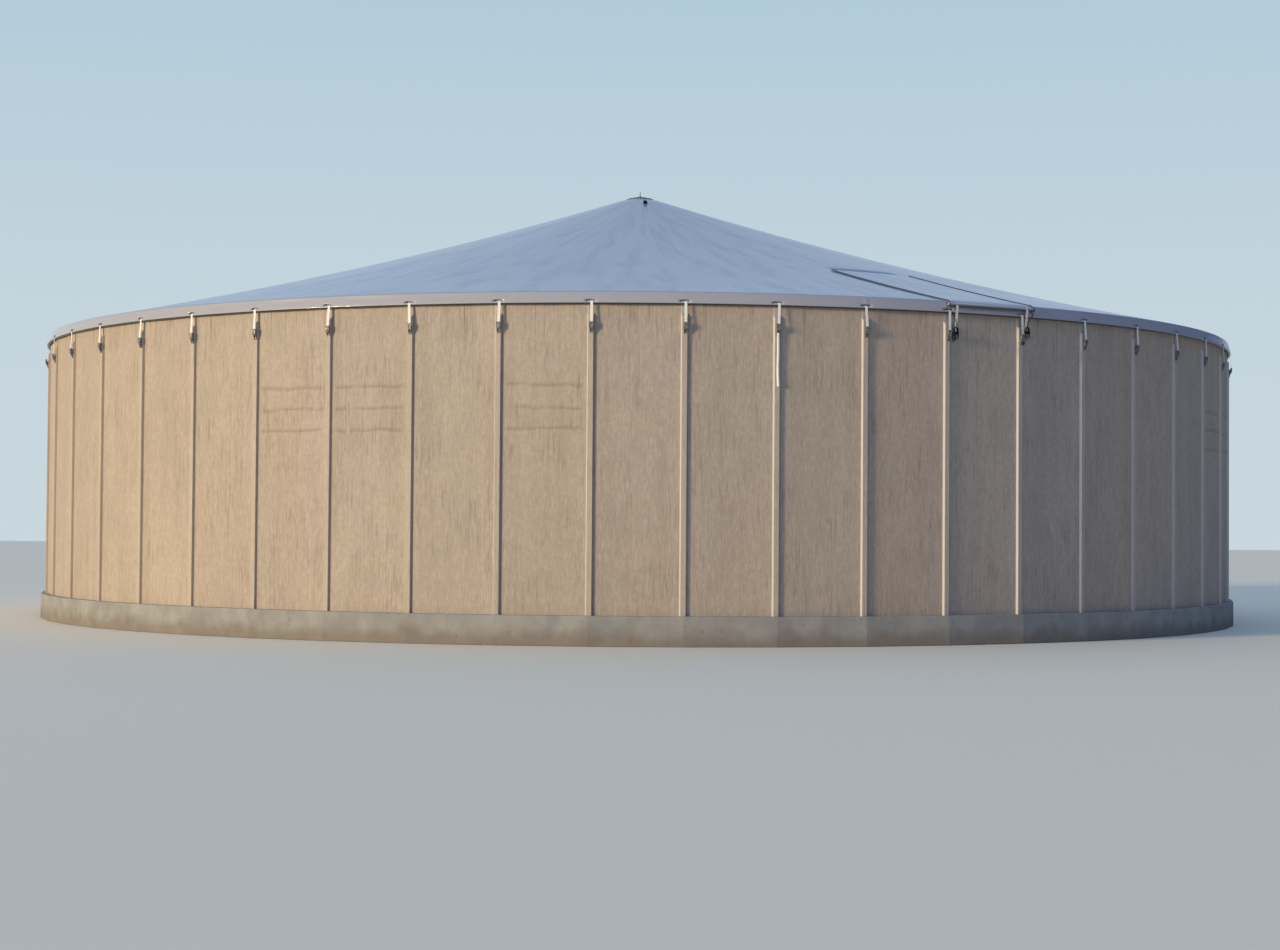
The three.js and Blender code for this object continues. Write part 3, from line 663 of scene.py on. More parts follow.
# %% [markdown]
# ## The cover's fabric
# The cover is polyester cloth coated with soft plastic: light blue-grey, satin and nearly
# smooth. It gathers dust, which rain draws into faint runs down the slope and leaves along
# the seams. The runs follow the slope because their noise is looked up by bearing and by
# radius, stretched along the radius. The slope's deeper blue is a painted reflection of the
# sky, and the skirt shows the cloth's own paler grey, with more dust runs. The flap's
# turned-down front is darkened, a painted shade. A near-black painted shade line runs along
# the bottom of both hems, and painted shadows lie along the two ropes on the flap.

# %% Masks of the flap, and of the painted shade and painted shadows on the cover
HEM_SHADE = 0.021
FLAP_HEM_SHADE = 0.014
ROPE_SHADOW = 0.009
FLAP_PROUD = WALL_CORNER + 0.038
SHADE_BLUR = 0.003
ROPE_BLUR = 0.002


def flap_places(tree, parts):
    """How far a point is across the flap and out along it, in the flap's own directions."""
    east, north = math.cos(FLAP_BEARING), math.sin(FLAP_BEARING)
    across = math_node(tree, "MULTIPLY_ADD", parts["X"], east, times(tree, parts["Y"], north))
    out = math_node(tree, "MULTIPLY_ADD", parts["X"], north, times(tree, parts["Y"], -east))
    return across, out


def flap_front(tree, across, height, radius):
    """A mask of the part of the flap that is turned down, which stands prouder than the skirt."""
    middle = (FLAP_LEFT + FLAP_RIGHT) / 2
    aside = math_node(tree, "ABSOLUTE", math_node(tree, "SUBTRACT", across, middle))
    return times(
        tree, smooth_step(tree, radius, FLAP_PROUD - 0.001, FLAP_PROUD + 0.001),
        smooth_step(tree, height, FLAP_HEM_Z - 0.008, FLAP_HEM_Z - 0.004),
        math_node(tree, "LESS_THAN", aside, FLAP_RIGHT - middle + 0.004),
    )


def hem_shade_line(tree, height, on_front):
    """A mask of painted shade along the bottom of the cover's hem and of the flap's hem."""
    cover_line, flap_line = HEM_Z + HEM_SHADE, FLAP_HEM_Z + FLAP_HEM_SHADE
    low = smooth_step(tree, height, cover_line + SHADE_BLUR, cover_line - SHADE_BLUR)
    flap_low = smooth_step(tree, height, flap_line + SHADE_BLUR, flap_line - SHADE_BLUR)
    return math_node(tree, "MAXIMUM", low, times(tree, flap_low, on_front))


def rope_shadow_lines(tree, across, out):
    """A mask of the two painted shadows under and beside the ropes on the flap."""
    lines = 0.0
    for edge in (FLAP_LEFT + ROPE_FROM_EDGE, FLAP_RIGHT - ROPE_FROM_EDGE):
        away = math_node(tree, "ABSOLUTE", math_node(tree, "SUBTRACT", across, edge))
        line = smooth_step(tree, away, ROPE_SHADOW + ROPE_BLUR, ROPE_SHADOW - ROPE_BLUR)
        lines = math_node(tree, "ADD", lines, line)
    return times(tree, lines, smooth_step(tree, out, FLAP_TOP_RADIUS, FLAP_TOP_RADIUS + 0.01))


# %% Material: cover fabric
def cover_fabric_material():
    material, tree, shader = start_material("cover_fabric")
    spot, parts = surface_place(tree)
    bearing = surface_bearing(tree, parts)
    flat = node(tree, "ShaderNodeCombineXYZ", {0: parts["X"], 1: parts["Y"]}).outputs[0]
    radius = node(tree, "ShaderNodeVectorMath", {0: flat}, operation="LENGTH").outputs["Value"]
    down_slope = node(
        tree, "ShaderNodeCombineXYZ",
        {0: times(tree, bearing, 14.0), 1: times(tree, radius, 0.16), 2: parts["Z"]},
    ).outputs[0]
    threads = use_group(
        tree, weave, {"Along": radius, "Across": times(tree, bearing, 9.0), "Threads": 240.0},
    )
    runs = smooth_step(tree, noise(tree, down_slope, 2.2, 5.0, roughness=0.55), 0.42, 0.72)
    clouds = smooth_step(tree, noise(tree, spot, 0.55, 4.0), 0.4, 0.75)
    hanging = smooth_step(tree, parts["Z"], CREASE_Z + 0.01, CREASE_Z - 0.02)
    across, out = flap_places(tree, parts)
    on_front = flap_front(tree, across, parts["Z"], radius)
    colour = layered(
        # The slope's deep blue base is a painted reflection of the sky; the hanging layer gives the skirt
        # the cloth's own light grey
        tree, (0.172, 0.243, 0.392, 1),
        (runs, math_node(tree, "MULTIPLY_ADD", hanging, 0.45, 0.08), (0.16, 0.215, 0.315, 1)),
        (clouds, 0.6, (0.193, 0.262, 0.40, 1)),
        (hanging, 0.88, (0.40, 0.385, 0.42, 1)),
        # painted shade: the flap's turned-down front is darkened
        (on_front, 0.5, (0.15, 0.175, 0.23, 1)),
        # painted shadows of the two ropes on the flap
        (rope_shadow_lines(tree, across, out), 0.8, (0.06, 0.065, 0.075, 1)),
        # painted shade: a near-black line along the bottom of the cover's hem and the flap's hem
        (hem_shade_line(tree, parts["Z"], on_front), 0.95, (0.025, 0.019, 0.015, 1)),
    )
    fill(tree, shader, {
        "Base Color": colour, "Roughness": math_node(tree, "MULTIPLY_ADD", runs, 0.14, 0.38),
        "Specular IOR Level": 0.3, "Coat Weight": 0.42, "Coat Roughness": 0.1,
        "Normal": bump(tree, threads["Height"], 0.00015),
    })
    return material


cover_fabric = cover_fabric_material()
print("cover fabric has", len(cover_fabric.node_tree.nodes), "nodes")

# %% [markdown]
# ## Steel, webbing and rope
# Three small finishes. Galvanised steel is grey with a soft patchwork of crystals. The
# ratchets are darker passivated steel with grime in them. The straps are white polyester
# webbing with a coarse weave, and the ropes are black with a twist that the mesh carries.

# %% Materials: galvanised steel and ratchet steel
def galvanised_material():
    material, tree, shader = start_material("galvanised_steel")
    spot, _ = surface_place(tree)
    flakes = node(tree, "ShaderNodeTexVoronoi", {"Vector": spot, "Scale": 120.0}).outputs["Color"]
    pick = node(tree, "ShaderNodeSeparateColor", {0: flakes}).outputs[0]
    fill(tree, shader, {
        "Base Color": mix_colours(tree, pick, (0.52, 0.53, 0.52, 1), (0.68, 0.69, 0.68, 1)),
        "Roughness": math_node(tree, "MULTIPLY_ADD", pick, 0.15, 0.35), "Metallic": 0.45,
    })
    return material


def ratchet_material():
    material, tree, shader = start_material("ratchet_steel")
    spot, _ = surface_place(tree)
    grime = noise(tree, spot, 60.0, 5.0)
    patches = smooth_step(tree, grime, 0.4, 0.65)
    fill(tree, shader, {
        "Base Color": mix_colours(tree, patches, (0.30, 0.30, 0.29, 1), (0.07, 0.068, 0.064, 1)),
        "Roughness": math_node(tree, "MULTIPLY_ADD", patches, 0.25, 0.5), "Metallic": 0.4,
        "Normal": bump(tree, grime, 0.0004),
    })
    return material


galvanised = galvanised_material()
ratchet_steel = ratchet_material()

# %% Materials: webbing and rope
def webbing_material():
    material, tree, shader = start_material("white_webbing")
    spot, parts = surface_place(tree)
    sideways = math_node(tree, "ADD", parts["X"], parts["Y"])
    threads = use_group(tree, weave, {"Along": parts["Z"], "Across": sideways, "Threads": 450.0})
    soiled = smooth_step(tree, noise(tree, spot, 18.0, 4.0), 0.45, 0.75)
    fill(tree, shader, {
        "Base Color": layered(tree, (0.86, 0.84, 0.80, 1), (soiled, 0.3, (0.55, 0.5, 0.44, 1))),
        "Roughness": 0.75, "Sheen Weight": 0.2, "Normal": bump(tree, threads["Height"], 0.0006),
    })
    return material


def rope_material():
    material, tree, shader = start_material("black_rope")
    spot, _ = surface_place(tree)
    fibres = noise(tree, spot, 900.0, 3.0)
    fill(tree, shader, {
        "Base Color": mix_colours(tree, fibres, (0.004, 0.0045, 0.006, 1), (0.016, 0.017, 0.021, 1)),
        "Roughness": 0.85, "Specular IOR Level": 0.12, "Normal": bump(tree, fibres, 0.0005),
    })
    return material


white_webbing = webbing_material()
black_rope = rope_material()
print("materials so far", len(bpy.data.materials))

# %% [markdown]
# ## The flap's ropes and their hanks
# A black rope is fixed at the top of each long edge of the access flap. It lies along the
# edge, turns down over the hem, and its spare length hangs in a hank: flat loops behind each
# other, a rope's width apart and each shorter than the last, held by a tie. A cord is a
# length of line first and a surface second, so its route is made as points, smoothed to one
# curve, and only then given its twisted surface.

# %% Driving sizes of the flap and its ropes
FLAP_RISE = 0.0056
ROPE_RADIUS = 0.005
ROPE_SIDES = 12
ROPE_LAY = 0.032
ROPE_STEP = 0.004
ROPE_CLEAR = 0.0005
TURN_CLEAR = 0.0012
ROPE_TURNS_DOWN = CREASE_RADIUS - 0.015
HANK_WIDTH = 0.076
HANK_HEIGHT = 0.172
HANK_DEPTH = 0.043
HANK_TURNS = 3
HANK_SHORTER = 0.027
HANK_STEPS = 16
TIE_BELOW_TOP = 0.078
TIE_HEIGHT = 0.032
TIE_THICKNESS = 0.0012
TIE_SIDES = 32
HANKS = {
    "left": {"rib": 3, "from_rib": 0.092, "below_hem": 0.175, "out": 0.082},
    "right": {"rib": 4, "from_rib": 0.048, "below_hem": 0.118, "out": 0.102},
}


def on_flap(across, radius, lift=0.0):
    """A point over the flap, at a distance across it and from the axis."""
    out = math.sqrt(radius * radius - across * across)
    bearing = FLAP_BEARING + math.atan2(across, out)
    return place(radius, bearing, cone_height(radius) + FLAP_RISE + lift)


def edge_bearing(across):
    """The bearing of the turned-down part of the flap, at a distance across it."""
    return FLAP_BEARING + math.atan2(across, CREASE_RADIUS)


print("the flap is", round(FLAP_RIGHT - FLAP_LEFT, 3), "m wide")

# %% A smooth line through points, and a rope's twisted surface
def smooth_line(points, step):
    """A Catmull-Rom curve through points, with its own points about step apart."""
    given = [Vector(p) for p in points]
    knots = [given[0] * 2 - given[1], *given, given[-1] * 2 - given[-2]]
    line = []
    for a, b, c, d in zip(knots, knots[1:], knots[2:], knots[3:]):
        count = max(1, round((c - b).length / step))
        for k in range(count):
            t = k / count
            line.append(
                b + (c - a) * (t / 2)
                + (a * 2 - b * 5 + c * 4 - d) * (t * t / 2)
                + (b * 3 - a - c * 3 + d) * (t ** 3 / 2)
            )
    line.append(given[-1])
    return line


def eased(line, rounds=14):
    """Takes the small kinks out of a line: each point moves towards its two neighbours."""
    for _ in range(rounds):
        inner = [(a + b * 2 + c) / 4 for a, b, c in zip(line, line[1:], line[2:])]
        line = [line[0], *inner, line[-1]]
    return line


def line_length(line):
    """The length of a line along its points."""
    return sum((b - a).length for a, b in zip(line, line[1:]))


def twisted_rope(name, line, radius, lay, replaced):
    """A three-strand rope: a tube whose section is a trefoil that turns once per lay."""
    run = [0, *accumulate((b - a).length for a, b in zip(line, line[1:]))]

    def section(i):
        turned = 2 * math.pi * run[i] / lay
        corners = []
        for k in range(ROPE_SIDES):
            angle = 2 * math.pi * k / ROPE_SIDES
            reach = radius * (0.82 + 0.18 * abs(math.sin(1.5 * (angle - turned))))
            corners.append((reach * math.cos(angle), reach * math.sin(angle)))
        return corners

    bm = bmesh.new()
    sweep(bm, line, section)
    tidy_normals(bm)
    return finish_piece(bm, name, black_rope, replaced)


# %% The turns of a hank, and its tie
def hank_place(side):
    """The matrix, the top and the distance from the axis of a hank's middle."""
    hank = HANKS[side]
    matrix = turn_to(rib_bearing(hank["rib"]) + hank["from_rib"] / WALL_CORNER)
    return matrix, HEM_Z - hank["below_hem"], WALL_CORNER + hank["out"]


def hank_turns(side):
    """The points of a hank: down its front, then flat loops, each one a layer further in."""
    matrix, top, middle = hank_place(side)
    half = HANK_WIDTH / 2 - ROPE_RADIUS - ROPE_CLEAR
    pitch = (HANK_DEPTH - 2 * ROPE_RADIUS - 2 * ROPE_CLEAR) / HANK_TURNS
    front_layer = middle + HANK_DEPTH / 2 - ROPE_RADIUS - ROPE_CLEAR
    high = top - HANK_WIDTH / 2
    low = top - HANK_HEIGHT + HANK_WIDTH / 2
    points = [front(0, front_layer, top), front(0.004, front_layer, high)]
    for k in range(HANK_TURNS * HANK_STEPS + HANK_STEPS // 2 - 1):
        angle = -2 * math.pi * k / HANK_STEPS
        depth = front_layer - pitch * max(0.0, k / HANK_STEPS - 0.5)
        up = half * math.sin(angle)
        centre = high if up > 1e-9 else low + HANK_SHORTER * (k // HANK_STEPS)
        points.append(front(half * math.cos(angle), depth, centre + up))
    print(side, "hank of", len(points), "points")
    return [matrix @ p for p in points]


def hank_tie(side):
    """A black strap round the middle of a hank."""
    matrix, top, middle = hank_place(side)
    level = top - TIE_BELOW_TOP
    corner = 2 * ROPE_RADIUS
    bm = bmesh.new()
    rings = []
    for reach, height in ((0, -0.5), (TIE_THICKNESS, -0.5), (TIE_THICKNESS, 0.5), (0, 0.5)):
        ring = []
        for k in range(TIE_SIDES):
            angle = 2 * math.pi * (k + 0.5) / TIE_SIDES
            x = math.copysign(HANK_WIDTH / 2 - corner, math.cos(angle))
            y = math.copysign(HANK_DEPTH / 2 - corner, math.sin(angle))
            x += (corner + reach) * math.cos(angle)
            y += (corner + reach) * math.sin(angle)
            ring.append(bm.verts.new(matrix @ front(x, middle + y, level + height * TIE_HEIGHT)))
        rings.append(ring)
    join_rings(bm, [*rings, rings[0]], ends=False)
    tidy_normals(bm)
    return finish_piece(bm, f"rope_tie_{side}", black_rope)


# %% Make the two ropes
def flap_rope(side):
    """The whole rope, from the flap's top corner to the free end in its hank."""
    across = FLAP_LEFT + ROPE_FROM_EDGE if side == "left" else FLAP_RIGHT - ROPE_FROM_EDGE
    clear = ROPE_RADIUS + ROPE_CLEAR
    first = FLAP_TOP_RADIUS + ROPE_FROM_EDGE
    along = [on_flap(across, first + (ROPE_TURNS_DOWN - first) * k / 12, clear) for k in range(13)]
    clear += TURN_CLEAR
    reach = POCKET_RADIUS + clear
    over = [(CREASE_RADIUS + FLAP_RISE + clear / 2, CREASE_Z + FLAP_RISE + clear)]
    for angle in (math.radians(67.5), math.radians(35), 0):
        over.append((FLAP_TUBE_LINE + reach * math.cos(angle), FLAP_TUBE_Z + reach * math.sin(angle)))
    over.append((FLAP_TUBE_LINE + reach, FLAP_HEM_Z))
    down = [place(out, edge_bearing(across), height) for out, height in over]
    hank = hank_turns(side)
    above_hank = hank[0] + Vector((0, 0, 0.05))
    return eased(smooth_line([*along, *down, above_hank, *hank], ROPE_STEP))


for side in ("left", "right"):
    route = flap_rope(side)
    rope = twisted_rope(
        f"flap_rope_{side}_whole", route, ROPE_RADIUS, ROPE_LAY,
        (f"flap_rope_{side}", f"rope_hank_{side}"),
    )
    hank_tie(side)

# %% [markdown]
# ## The loose strap end
# One strap was left with its end hanging from the ratchet. It is the same webbing as the
# others, a flat strip as wide as they are. It hangs nearly straight with a slight bow
# towards the rib and a slight twist, and its cut end is sealed.

# %% The loose strap end
STRAP_WIDTH = 0.035
STRAP_THICKNESS = 0.0022
STRAP_OFFSET = 0.010
RATCHET_TOP = HEM_Z - 0.219
RATCHET_HEIGHT = 0.144
RATCHET_DEPTH = 0.048
TAIL_LENGTH = 0.69
TAIL_STEPS = 60
TAIL_RIB = 1
TAIL_BOW = 0.006
TAIL_SWAY = 0.005
TAIL_TWIST = math.radians(16)
tail_top = RATCHET_TOP - RATCHET_HEIGHT + 0.0257
tail_out = RIB_FRONT + 0.0003 + RATCHET_DEPTH / 3


def loose_tail():
    """The strap end, with the line through its middle."""
    matrix = turn_to(rib_bearing(TAIL_RIB))
    route, rows = [], []
    bm = bmesh.new()
    for k in range(TAIL_STEPS + 1):
        share = k / TAIL_STEPS
        bow = TAIL_BOW * math.sin(math.pi * share)
        sway = TAIL_SWAY * math.sin(2.2 * math.pi * share) * share
        twist = TAIL_TWIST * share * share
        middle = Vector((STRAP_OFFSET + sway, tail_out - bow, tail_top - TAIL_LENGTH * share))
        route.append(matrix @ front(*middle))
        row = []
        for x, y in ((-1, -1), (0, -1.15), (1, -1), (1, 1), (0, 1.15), (-1, 1)):
            across = x * STRAP_WIDTH / 2
            off = y * STRAP_THICKNESS / 2
            turned = (
                middle.x + across * math.cos(twist) - off * math.sin(twist),
                middle.y + across * math.sin(twist) + off * math.cos(twist),
            )
            row.append(bm.verts.new(matrix @ front(*turned, middle.z)))
        rows.append(row)
    join_rings(bm, rows)
    tidy_normals(bm)
    replaced = ("loose_strap_tail",)
    return finish_piece(bm, "loose_strap_end", white_webbing, replaced), route


tail, tail_route = loose_tail()
print(f"loose strap end {line_length(tail_route):.3f} m")

# %% [markdown]
# ## The cover
# The cover is one sheet: a cone that hangs a little hollow between the crown and the rim, a
# sharp crease, a skirt, and a pocket welded round the hem tube. It is made of tapering
# cloths two panels wide, welded together with an overlap of 40 mm, so there is a flat raised
# band at every second rib. The best tool for a sheet with such exact lines is a grid made by
# code: its columns run down the slope, its rows run round, and the weld edges and the strap
# slots each get columns of their own.

# %% Driving sizes of the cover's sheet
SHEET = 0.0015
SEAM_HALF = 0.02
SEAM_STEP = 0.006
SEAM_RISE = 0.0005
SLOT_HALF = 0.0575
SLOT_LOW = TUBE_Z + 0.004
SLOT_HIGH = TUBE_Z + 0.037
SLOT_ARCH = 0.006
CROWN_HOLE = 0.07
GORE_SAG = 0.006
GORE_PANELS = 2
GORE_ANGLE = GORE_PANELS * PITCH_ANGLE
POCKET_OUT = 0.0238
CREASE_BEND = 0.014
SKIRT_HEIGHTS = (4.515, 4.496, 4.478, 4.462, 4.449)
WRINKLE_RIB = 4
WRINKLE_COLUMNS = (0.14, 0.16, 0.22, 0.25, 0.28, 0.34, 0.37, 0.4, 0.46, 0.49, 0.52)


def gore_columns():
    """Distances from a seam, at the rim, of the columns of one cloth, in metres."""
    near_seam = [0.0, SEAM_HALF, SEAM_HALF + SEAM_STEP, SLOT_HALF]
    between = [0.1, 0.19, 0.31, 0.43, 0.55, 0.67, 0.79, 0.91, 1.02, 1.1]
    return [*near_seam, *between, PANEL_PITCH - SLOT_HALF]


# %% The columns of the grid
def column_table():
    """For each column: the number of its cloth, and how far across that cloth it is."""
    whole = GORE_PANELS * PANEL_PITCH
    first = gore_columns()
    marks = first + [PANEL_PITCH] + [whole - x for x in reversed(first[1:])]
    columns = []
    for gore in range(PANELS // GORE_PANELS):
        extra = WRINKLE_COLUMNS if gore == WRINKLE_RIB // GORE_PANELS else ()
        columns += [(gore, mark) for mark in sorted([*marks, *extra])]
    return columns


def column_bearing(gore, mark, radius):
    """Columns spread evenly over a cloth, but the seam keeps its width at every radius."""
    start = rib_bearing(GORE_PANELS * gore)
    whole = GORE_PANELS * PANEL_PITCH
    seam = SEAM_HALF + SEAM_STEP
    share_there = min(seam / radius, 0.45 * GORE_ANGLE)
    near = min(mark, whole - mark)
    if near <= seam:
        turn = near / seam * share_there
    else:
        rest = (near - seam) / (whole / 2 - seam)
        turn = share_there + rest * (GORE_ANGLE / 2 - share_there)
    return start + (turn if mark <= whole / 2 else GORE_ANGLE - turn)


columns = column_table()
print(len(columns), "columns round the cover")

# %% [markdown]
# The rows follow the sheet's own line from the crown to the pocket. The crease is turned on
# a small radius. Below the skirt the sheet goes round under the tube and up behind it, where
# it is welded to the skirt's inner face.

# %% The rows of the grid
def crease_turn():
    """A tight bend from the cone's slope to the skirt's."""
    inside = CREASE_RADIUS - CREASE_BEND
    start = Vector((inside, cone_height(inside)))
    corner = Vector((CREASE_RADIUS, CREASE_Z))
    lower = Vector((TUBE_LINE + POCKET_OUT, TUBE_Z))
    end = corner + (lower - corner).normalized() * CREASE_BEND
    return [start.lerp(corner, t).lerp(corner.lerp(end, t), t) for t in (0, 0.25, 0.5, 0.75, 1)]


def skirt_rows(turn):
    """Rows down the skirt, with one at each edge of the strap slots."""
    start, end = turn[-1], Vector((TUBE_LINE + POCKET_OUT, TUBE_Z))
    heights = [*SKIRT_HEIGHTS, SLOT_HIGH, (SLOT_HIGH + SLOT_LOW) / 2, SLOT_LOW]
    return [start.lerp(end, (start.y - height) / (start.y - end.y)) for height in heights]


def pocket_rows():
    """Rows round under the tube and up behind it to the weld on the skirt."""
    angles = [math.radians(12 - 18 * k) for k in range(1, 12)]
    rows = [around((TUBE_LINE, TUBE_Z), POCKET_OUT, angle) for angle in angles]
    rows += [(TUBE_LINE - 0.012, TUBE_Z + 0.035), (TUBE_LINE + 0.003, TUBE_Z + 0.062)]
    return [Vector(row) for row in rows]


cone_edge = CREASE_RADIUS - 0.05
cone_radii = [CROWN_HOLE + (cone_edge - CROWN_HOLE) * (k / 17) ** 1.25 for k in range(18)]
cone_rows = [Vector((radius, cone_height(radius))) for radius in cone_radii]
turn_rows = crease_turn()
hanging_rows = skirt_rows(turn_rows)
wrapped_rows = pocket_rows()
profile = [*cone_rows, *turn_rows, *hanging_rows, *wrapped_rows]
SKIRT_START = len(cone_rows) + len(turn_rows)
SLOT_ROW = SKIRT_START + len(SKIRT_HEIGHTS)
POCKET_START = SKIRT_START + len(hanging_rows)
print(len(profile), "rows, the skirt starts at", SKIRT_START, "and the pocket at", POCKET_START)

# %% [markdown]
# A tight cloth is never a perfect cone. Between two seams it sags by some millimetres, the
# hem rises a little between the straps, and each strap pulls short creases into the skirt.
# These are small moves of the grid's points, all worked out from the distance to the rib.

# %% Moves of the sheet's points
SKIRT_SLACK = 0.005
FOLD_RISE = 0.0022
FOLD_REACH = 0.12
FOLDS_PER_METRE = 58


def sheet_point(row, gore, mark):
    """A point of the cover's outer face."""
    radius, height = profile[row]
    bearing = column_bearing(gore, mark, max(radius, CROWN_HOLE))
    whole = GORE_PANELS * PANEL_PITCH
    from_seam = min(mark, whole - mark)
    from_rib = min(from_seam, abs(mark - PANEL_PITCH))
    share = radius / CREASE_RADIUS
    if row < SKIRT_START:
        across = math.sin(math.pi * mark / whole) ** 2
        height -= GORE_SAG * across * max(0.0, 4 * share * (1 - share))
        if from_seam <= SEAM_HALF and radius > CAP_RADIUS:
            height += SEAM_RISE
    else:
        slack = math.sin(math.pi * min(1.0, from_rib / (PANEL_PITCH / 2)) / 2) ** 2
        down = min(1.0, (CREASE_Z - height) / (CREASE_Z - SLOT_HIGH))
        wave = math.sin(from_rib * FOLDS_PER_METRE + rib_phase(gore, mark) * 6)
        fold = wave * math.exp(-from_rib / FOLD_REACH)
        radius += (FOLD_RISE * fold - SKIRT_SLACK * slack) * math.sin(math.pi * down)
        if row == SLOT_ROW and from_rib < SLOT_HALF:
            height += SLOT_ARCH * (1 - (from_rib / SLOT_HALF) ** 2)
        if from_seam <= SEAM_HALF and row < POCKET_START:
            radius += SEAM_RISE
    return place(radius, bearing, height)


def rib_phase(gore, mark):
    """A steady number from 0 to 1 for the rib that a column is nearest to."""
    rib = GORE_PANELS * gore + round(mark / PANEL_PITCH)
    return (rib % PANELS) * 0.618 % 1


# %% [markdown]
# The wrinkle right of the flap is the one fold that shows from far away: the skirt is pushed
# out in a short slanting ridge there. It is added as one soft bump across a slanting line.

# %% Build the cover's grid
WRINKLE_FROM = 0.14
WRINKLE_WIDTH = 0.06
WRINKLE_RISE = 0.017
WRINKLE_SLANT = 1.6
WRINKLE_SPAN = (-0.4, 0.6)


def with_wrinkle(point):
    """A point of the cover, pushed out where the wrinkle is."""
    bearing = math.atan2(point.x, -point.y)
    across = (bearing - rib_bearing(WRINKLE_RIB)) * WALL_CORNER - WRINKLE_FROM
    down = CREASE_Z - point.z
    if not 0 < down < SKIRT_DROP or not WRINKLE_SPAN[0] < across < WRINKLE_SPAN[1]:
        return point
    beside = across - WRINKLE_SLANT * (SKIRT_DROP - down)
    ridge = math.exp(-((beside / WRINKLE_WIDTH) ** 2)) * math.sin(math.pi * down / SKIRT_DROP)
    return point + Vector((point.x, point.y, 0)).normalized() * WRINKLE_RISE * ridge


def cover_grid():
    """The cover's outer face, without the strap slots."""
    bm = bmesh.new()
    grid = [
        [bm.verts.new(with_wrinkle(sheet_point(row, gore, mark))) for gore, mark in columns]
        for row in range(len(profile))
    ]
    slot_rows = range(SLOT_ROW, SLOT_ROW + 2)
    for row in range(len(profile) - 1):
        for k in range(len(columns)):
            n = (k + 1) % len(columns)
            middle = (columns[k][1] + (columns[n][1] or GORE_PANELS * PANEL_PITCH)) / 2
            from_rib = min(abs(middle - at) for at in (0, PANEL_PITCH, 2 * PANEL_PITCH))
            if row in slot_rows and from_rib < SLOT_HALF:
                continue
            bm.faces.new((grid[row][k], grid[row + 1][k], grid[row + 1][n], grid[row][n]))
    return bm


bm = cover_grid()
print(len(bm.faces), "faces in the cover's grid")

# %% [markdown]
# Under the access flap the cover has a hatch, a plain rectangular hole. It is cut with four
# planes that only touch the faces near it, and the faces inside the four cuts are deleted.

# %% Cut the hatch
HATCH_INSET = 0.11
HATCH_LEFT = FLAP_LEFT + HATCH_INSET
HATCH_RIGHT = FLAP_RIGHT - HATCH_INSET
HATCH_INNER = FLAP_TOP_RADIUS + HATCH_INSET
HATCH_OUTER = 9.7


def faces_inside(bm, left, right, inner, outer):
    """The faces whose middle is between two places across the flap and two out along it."""
    back = turn_to(-FLAP_BEARING)
    middles = {face: back @ face.calc_center_median() for face in bm.faces}
    return [f for f, m in middles.items() if left < m.x < right and -outer < m.y < -inner]


def cut_hatch(bm):
    """Cuts the hatch's four edges into the sheet and takes out what is between them."""
    turned = turn_to(FLAP_BEARING)
    cuts = [((HATCH_LEFT, 0, 0), (1, 0, 0)), ((HATCH_RIGHT, 0, 0), (1, 0, 0))]
    cuts += [((0, -HATCH_INNER, 0), (0, 1, 0)), ((0, -HATCH_OUTER, 0), (0, 1, 0))]
    for spot, across in cuts:
        near = faces_inside(
            bm, FLAP_LEFT - 0.6, FLAP_RIGHT + 0.6, FLAP_TOP_RADIUS - 0.9, HATCH_OUTER + 0.3,
        )
        parts = {*near, *(e for f in near for e in f.edges), *(v for f in near for v in f.verts)}
        bmesh.ops.bisect_plane(
            bm, geom=list(parts), dist=1e-5, plane_co=turned @ Vector(spot),
            plane_no=turned.to_3x3() @ Vector(across),
        )
    gone = faces_inside(bm, HATCH_LEFT, HATCH_RIGHT, HATCH_INNER, HATCH_OUTER)
    bmesh.ops.delete(bm, geom=gone, context="FACES")
    print("the hatch took", len(gone), "faces")


cut_hatch(bm)

# %% [markdown]
# The grid is the outer face alone. A Solidify modifier gives the sheet its thickness of
# 1.5 mm inwards. The flat cut of the cloth is the cone's slope plus the skirt and pocket.

# %% Finish the cover
def thicken(piece):
    """Gives a sheet its thickness inwards, and keeps its creases sharp."""
    thick = piece.modifiers.new("sheet", "SOLIDIFY")
    thick.thickness = SHEET
    thick.offset = -1
    piece.data.set_sharp_from_angle(angle=math.radians(35))


cover = finish_piece(bm, "cover_sheet", cover_fabric, ("roof_cover",))
thicken(cover)

# %% [markdown]
# ## The access flap
# The flap is a strip of the same cloth over the hatch. It lies on the cover, turns down over
# the skirt and has its own hem tube. Its grid is drawn in its own directions, across and
# out, and each point then takes its height from the cover below. The long edges have a
# welded border, and the cloth lifts a little between its straps.

# %% The flap's grid
BORDER = 0.045
BORDER_RISE = 0.0007
RIPPLE = 0.0016


def flap_rows():
    """Rows out along the flap, over the crease and round its hem tube."""
    first, last = FLAP_TOP_RADIUS + BORDER, CREASE_RADIUS - 0.016
    outs = [FLAP_TOP_RADIUS, *(first + (last - first) * k / 14 for k in range(15))]
    start = Vector((last, cone_height(last) + FLAP_RISE))
    corner = Vector((CREASE_RADIUS + FLAP_RISE, CREASE_Z + FLAP_RISE))
    lower = Vector((FLAP_TUBE_LINE + POCKET_OUT, FLAP_TUBE_Z + 0.006))
    turn = [start.lerp(corner, t).lerp(corner.lerp(lower, 0.4), t) for t in (0.2, 0.45, 0.7)]
    hanging = [corner.lerp(lower, t) for t in (0.4, 0.6, 0.8, 1)]
    angles = [math.radians(14 - 19 * k) for k in range(1, 11)]
    tube = (FLAP_TUBE_LINE, FLAP_TUBE_Z)
    pocket = [Vector(around(tube, POCKET_OUT, angle)) for angle in angles]
    return [("out", out) for out in outs] + [("spot", spot) for spot in turn + hanging + pocket]


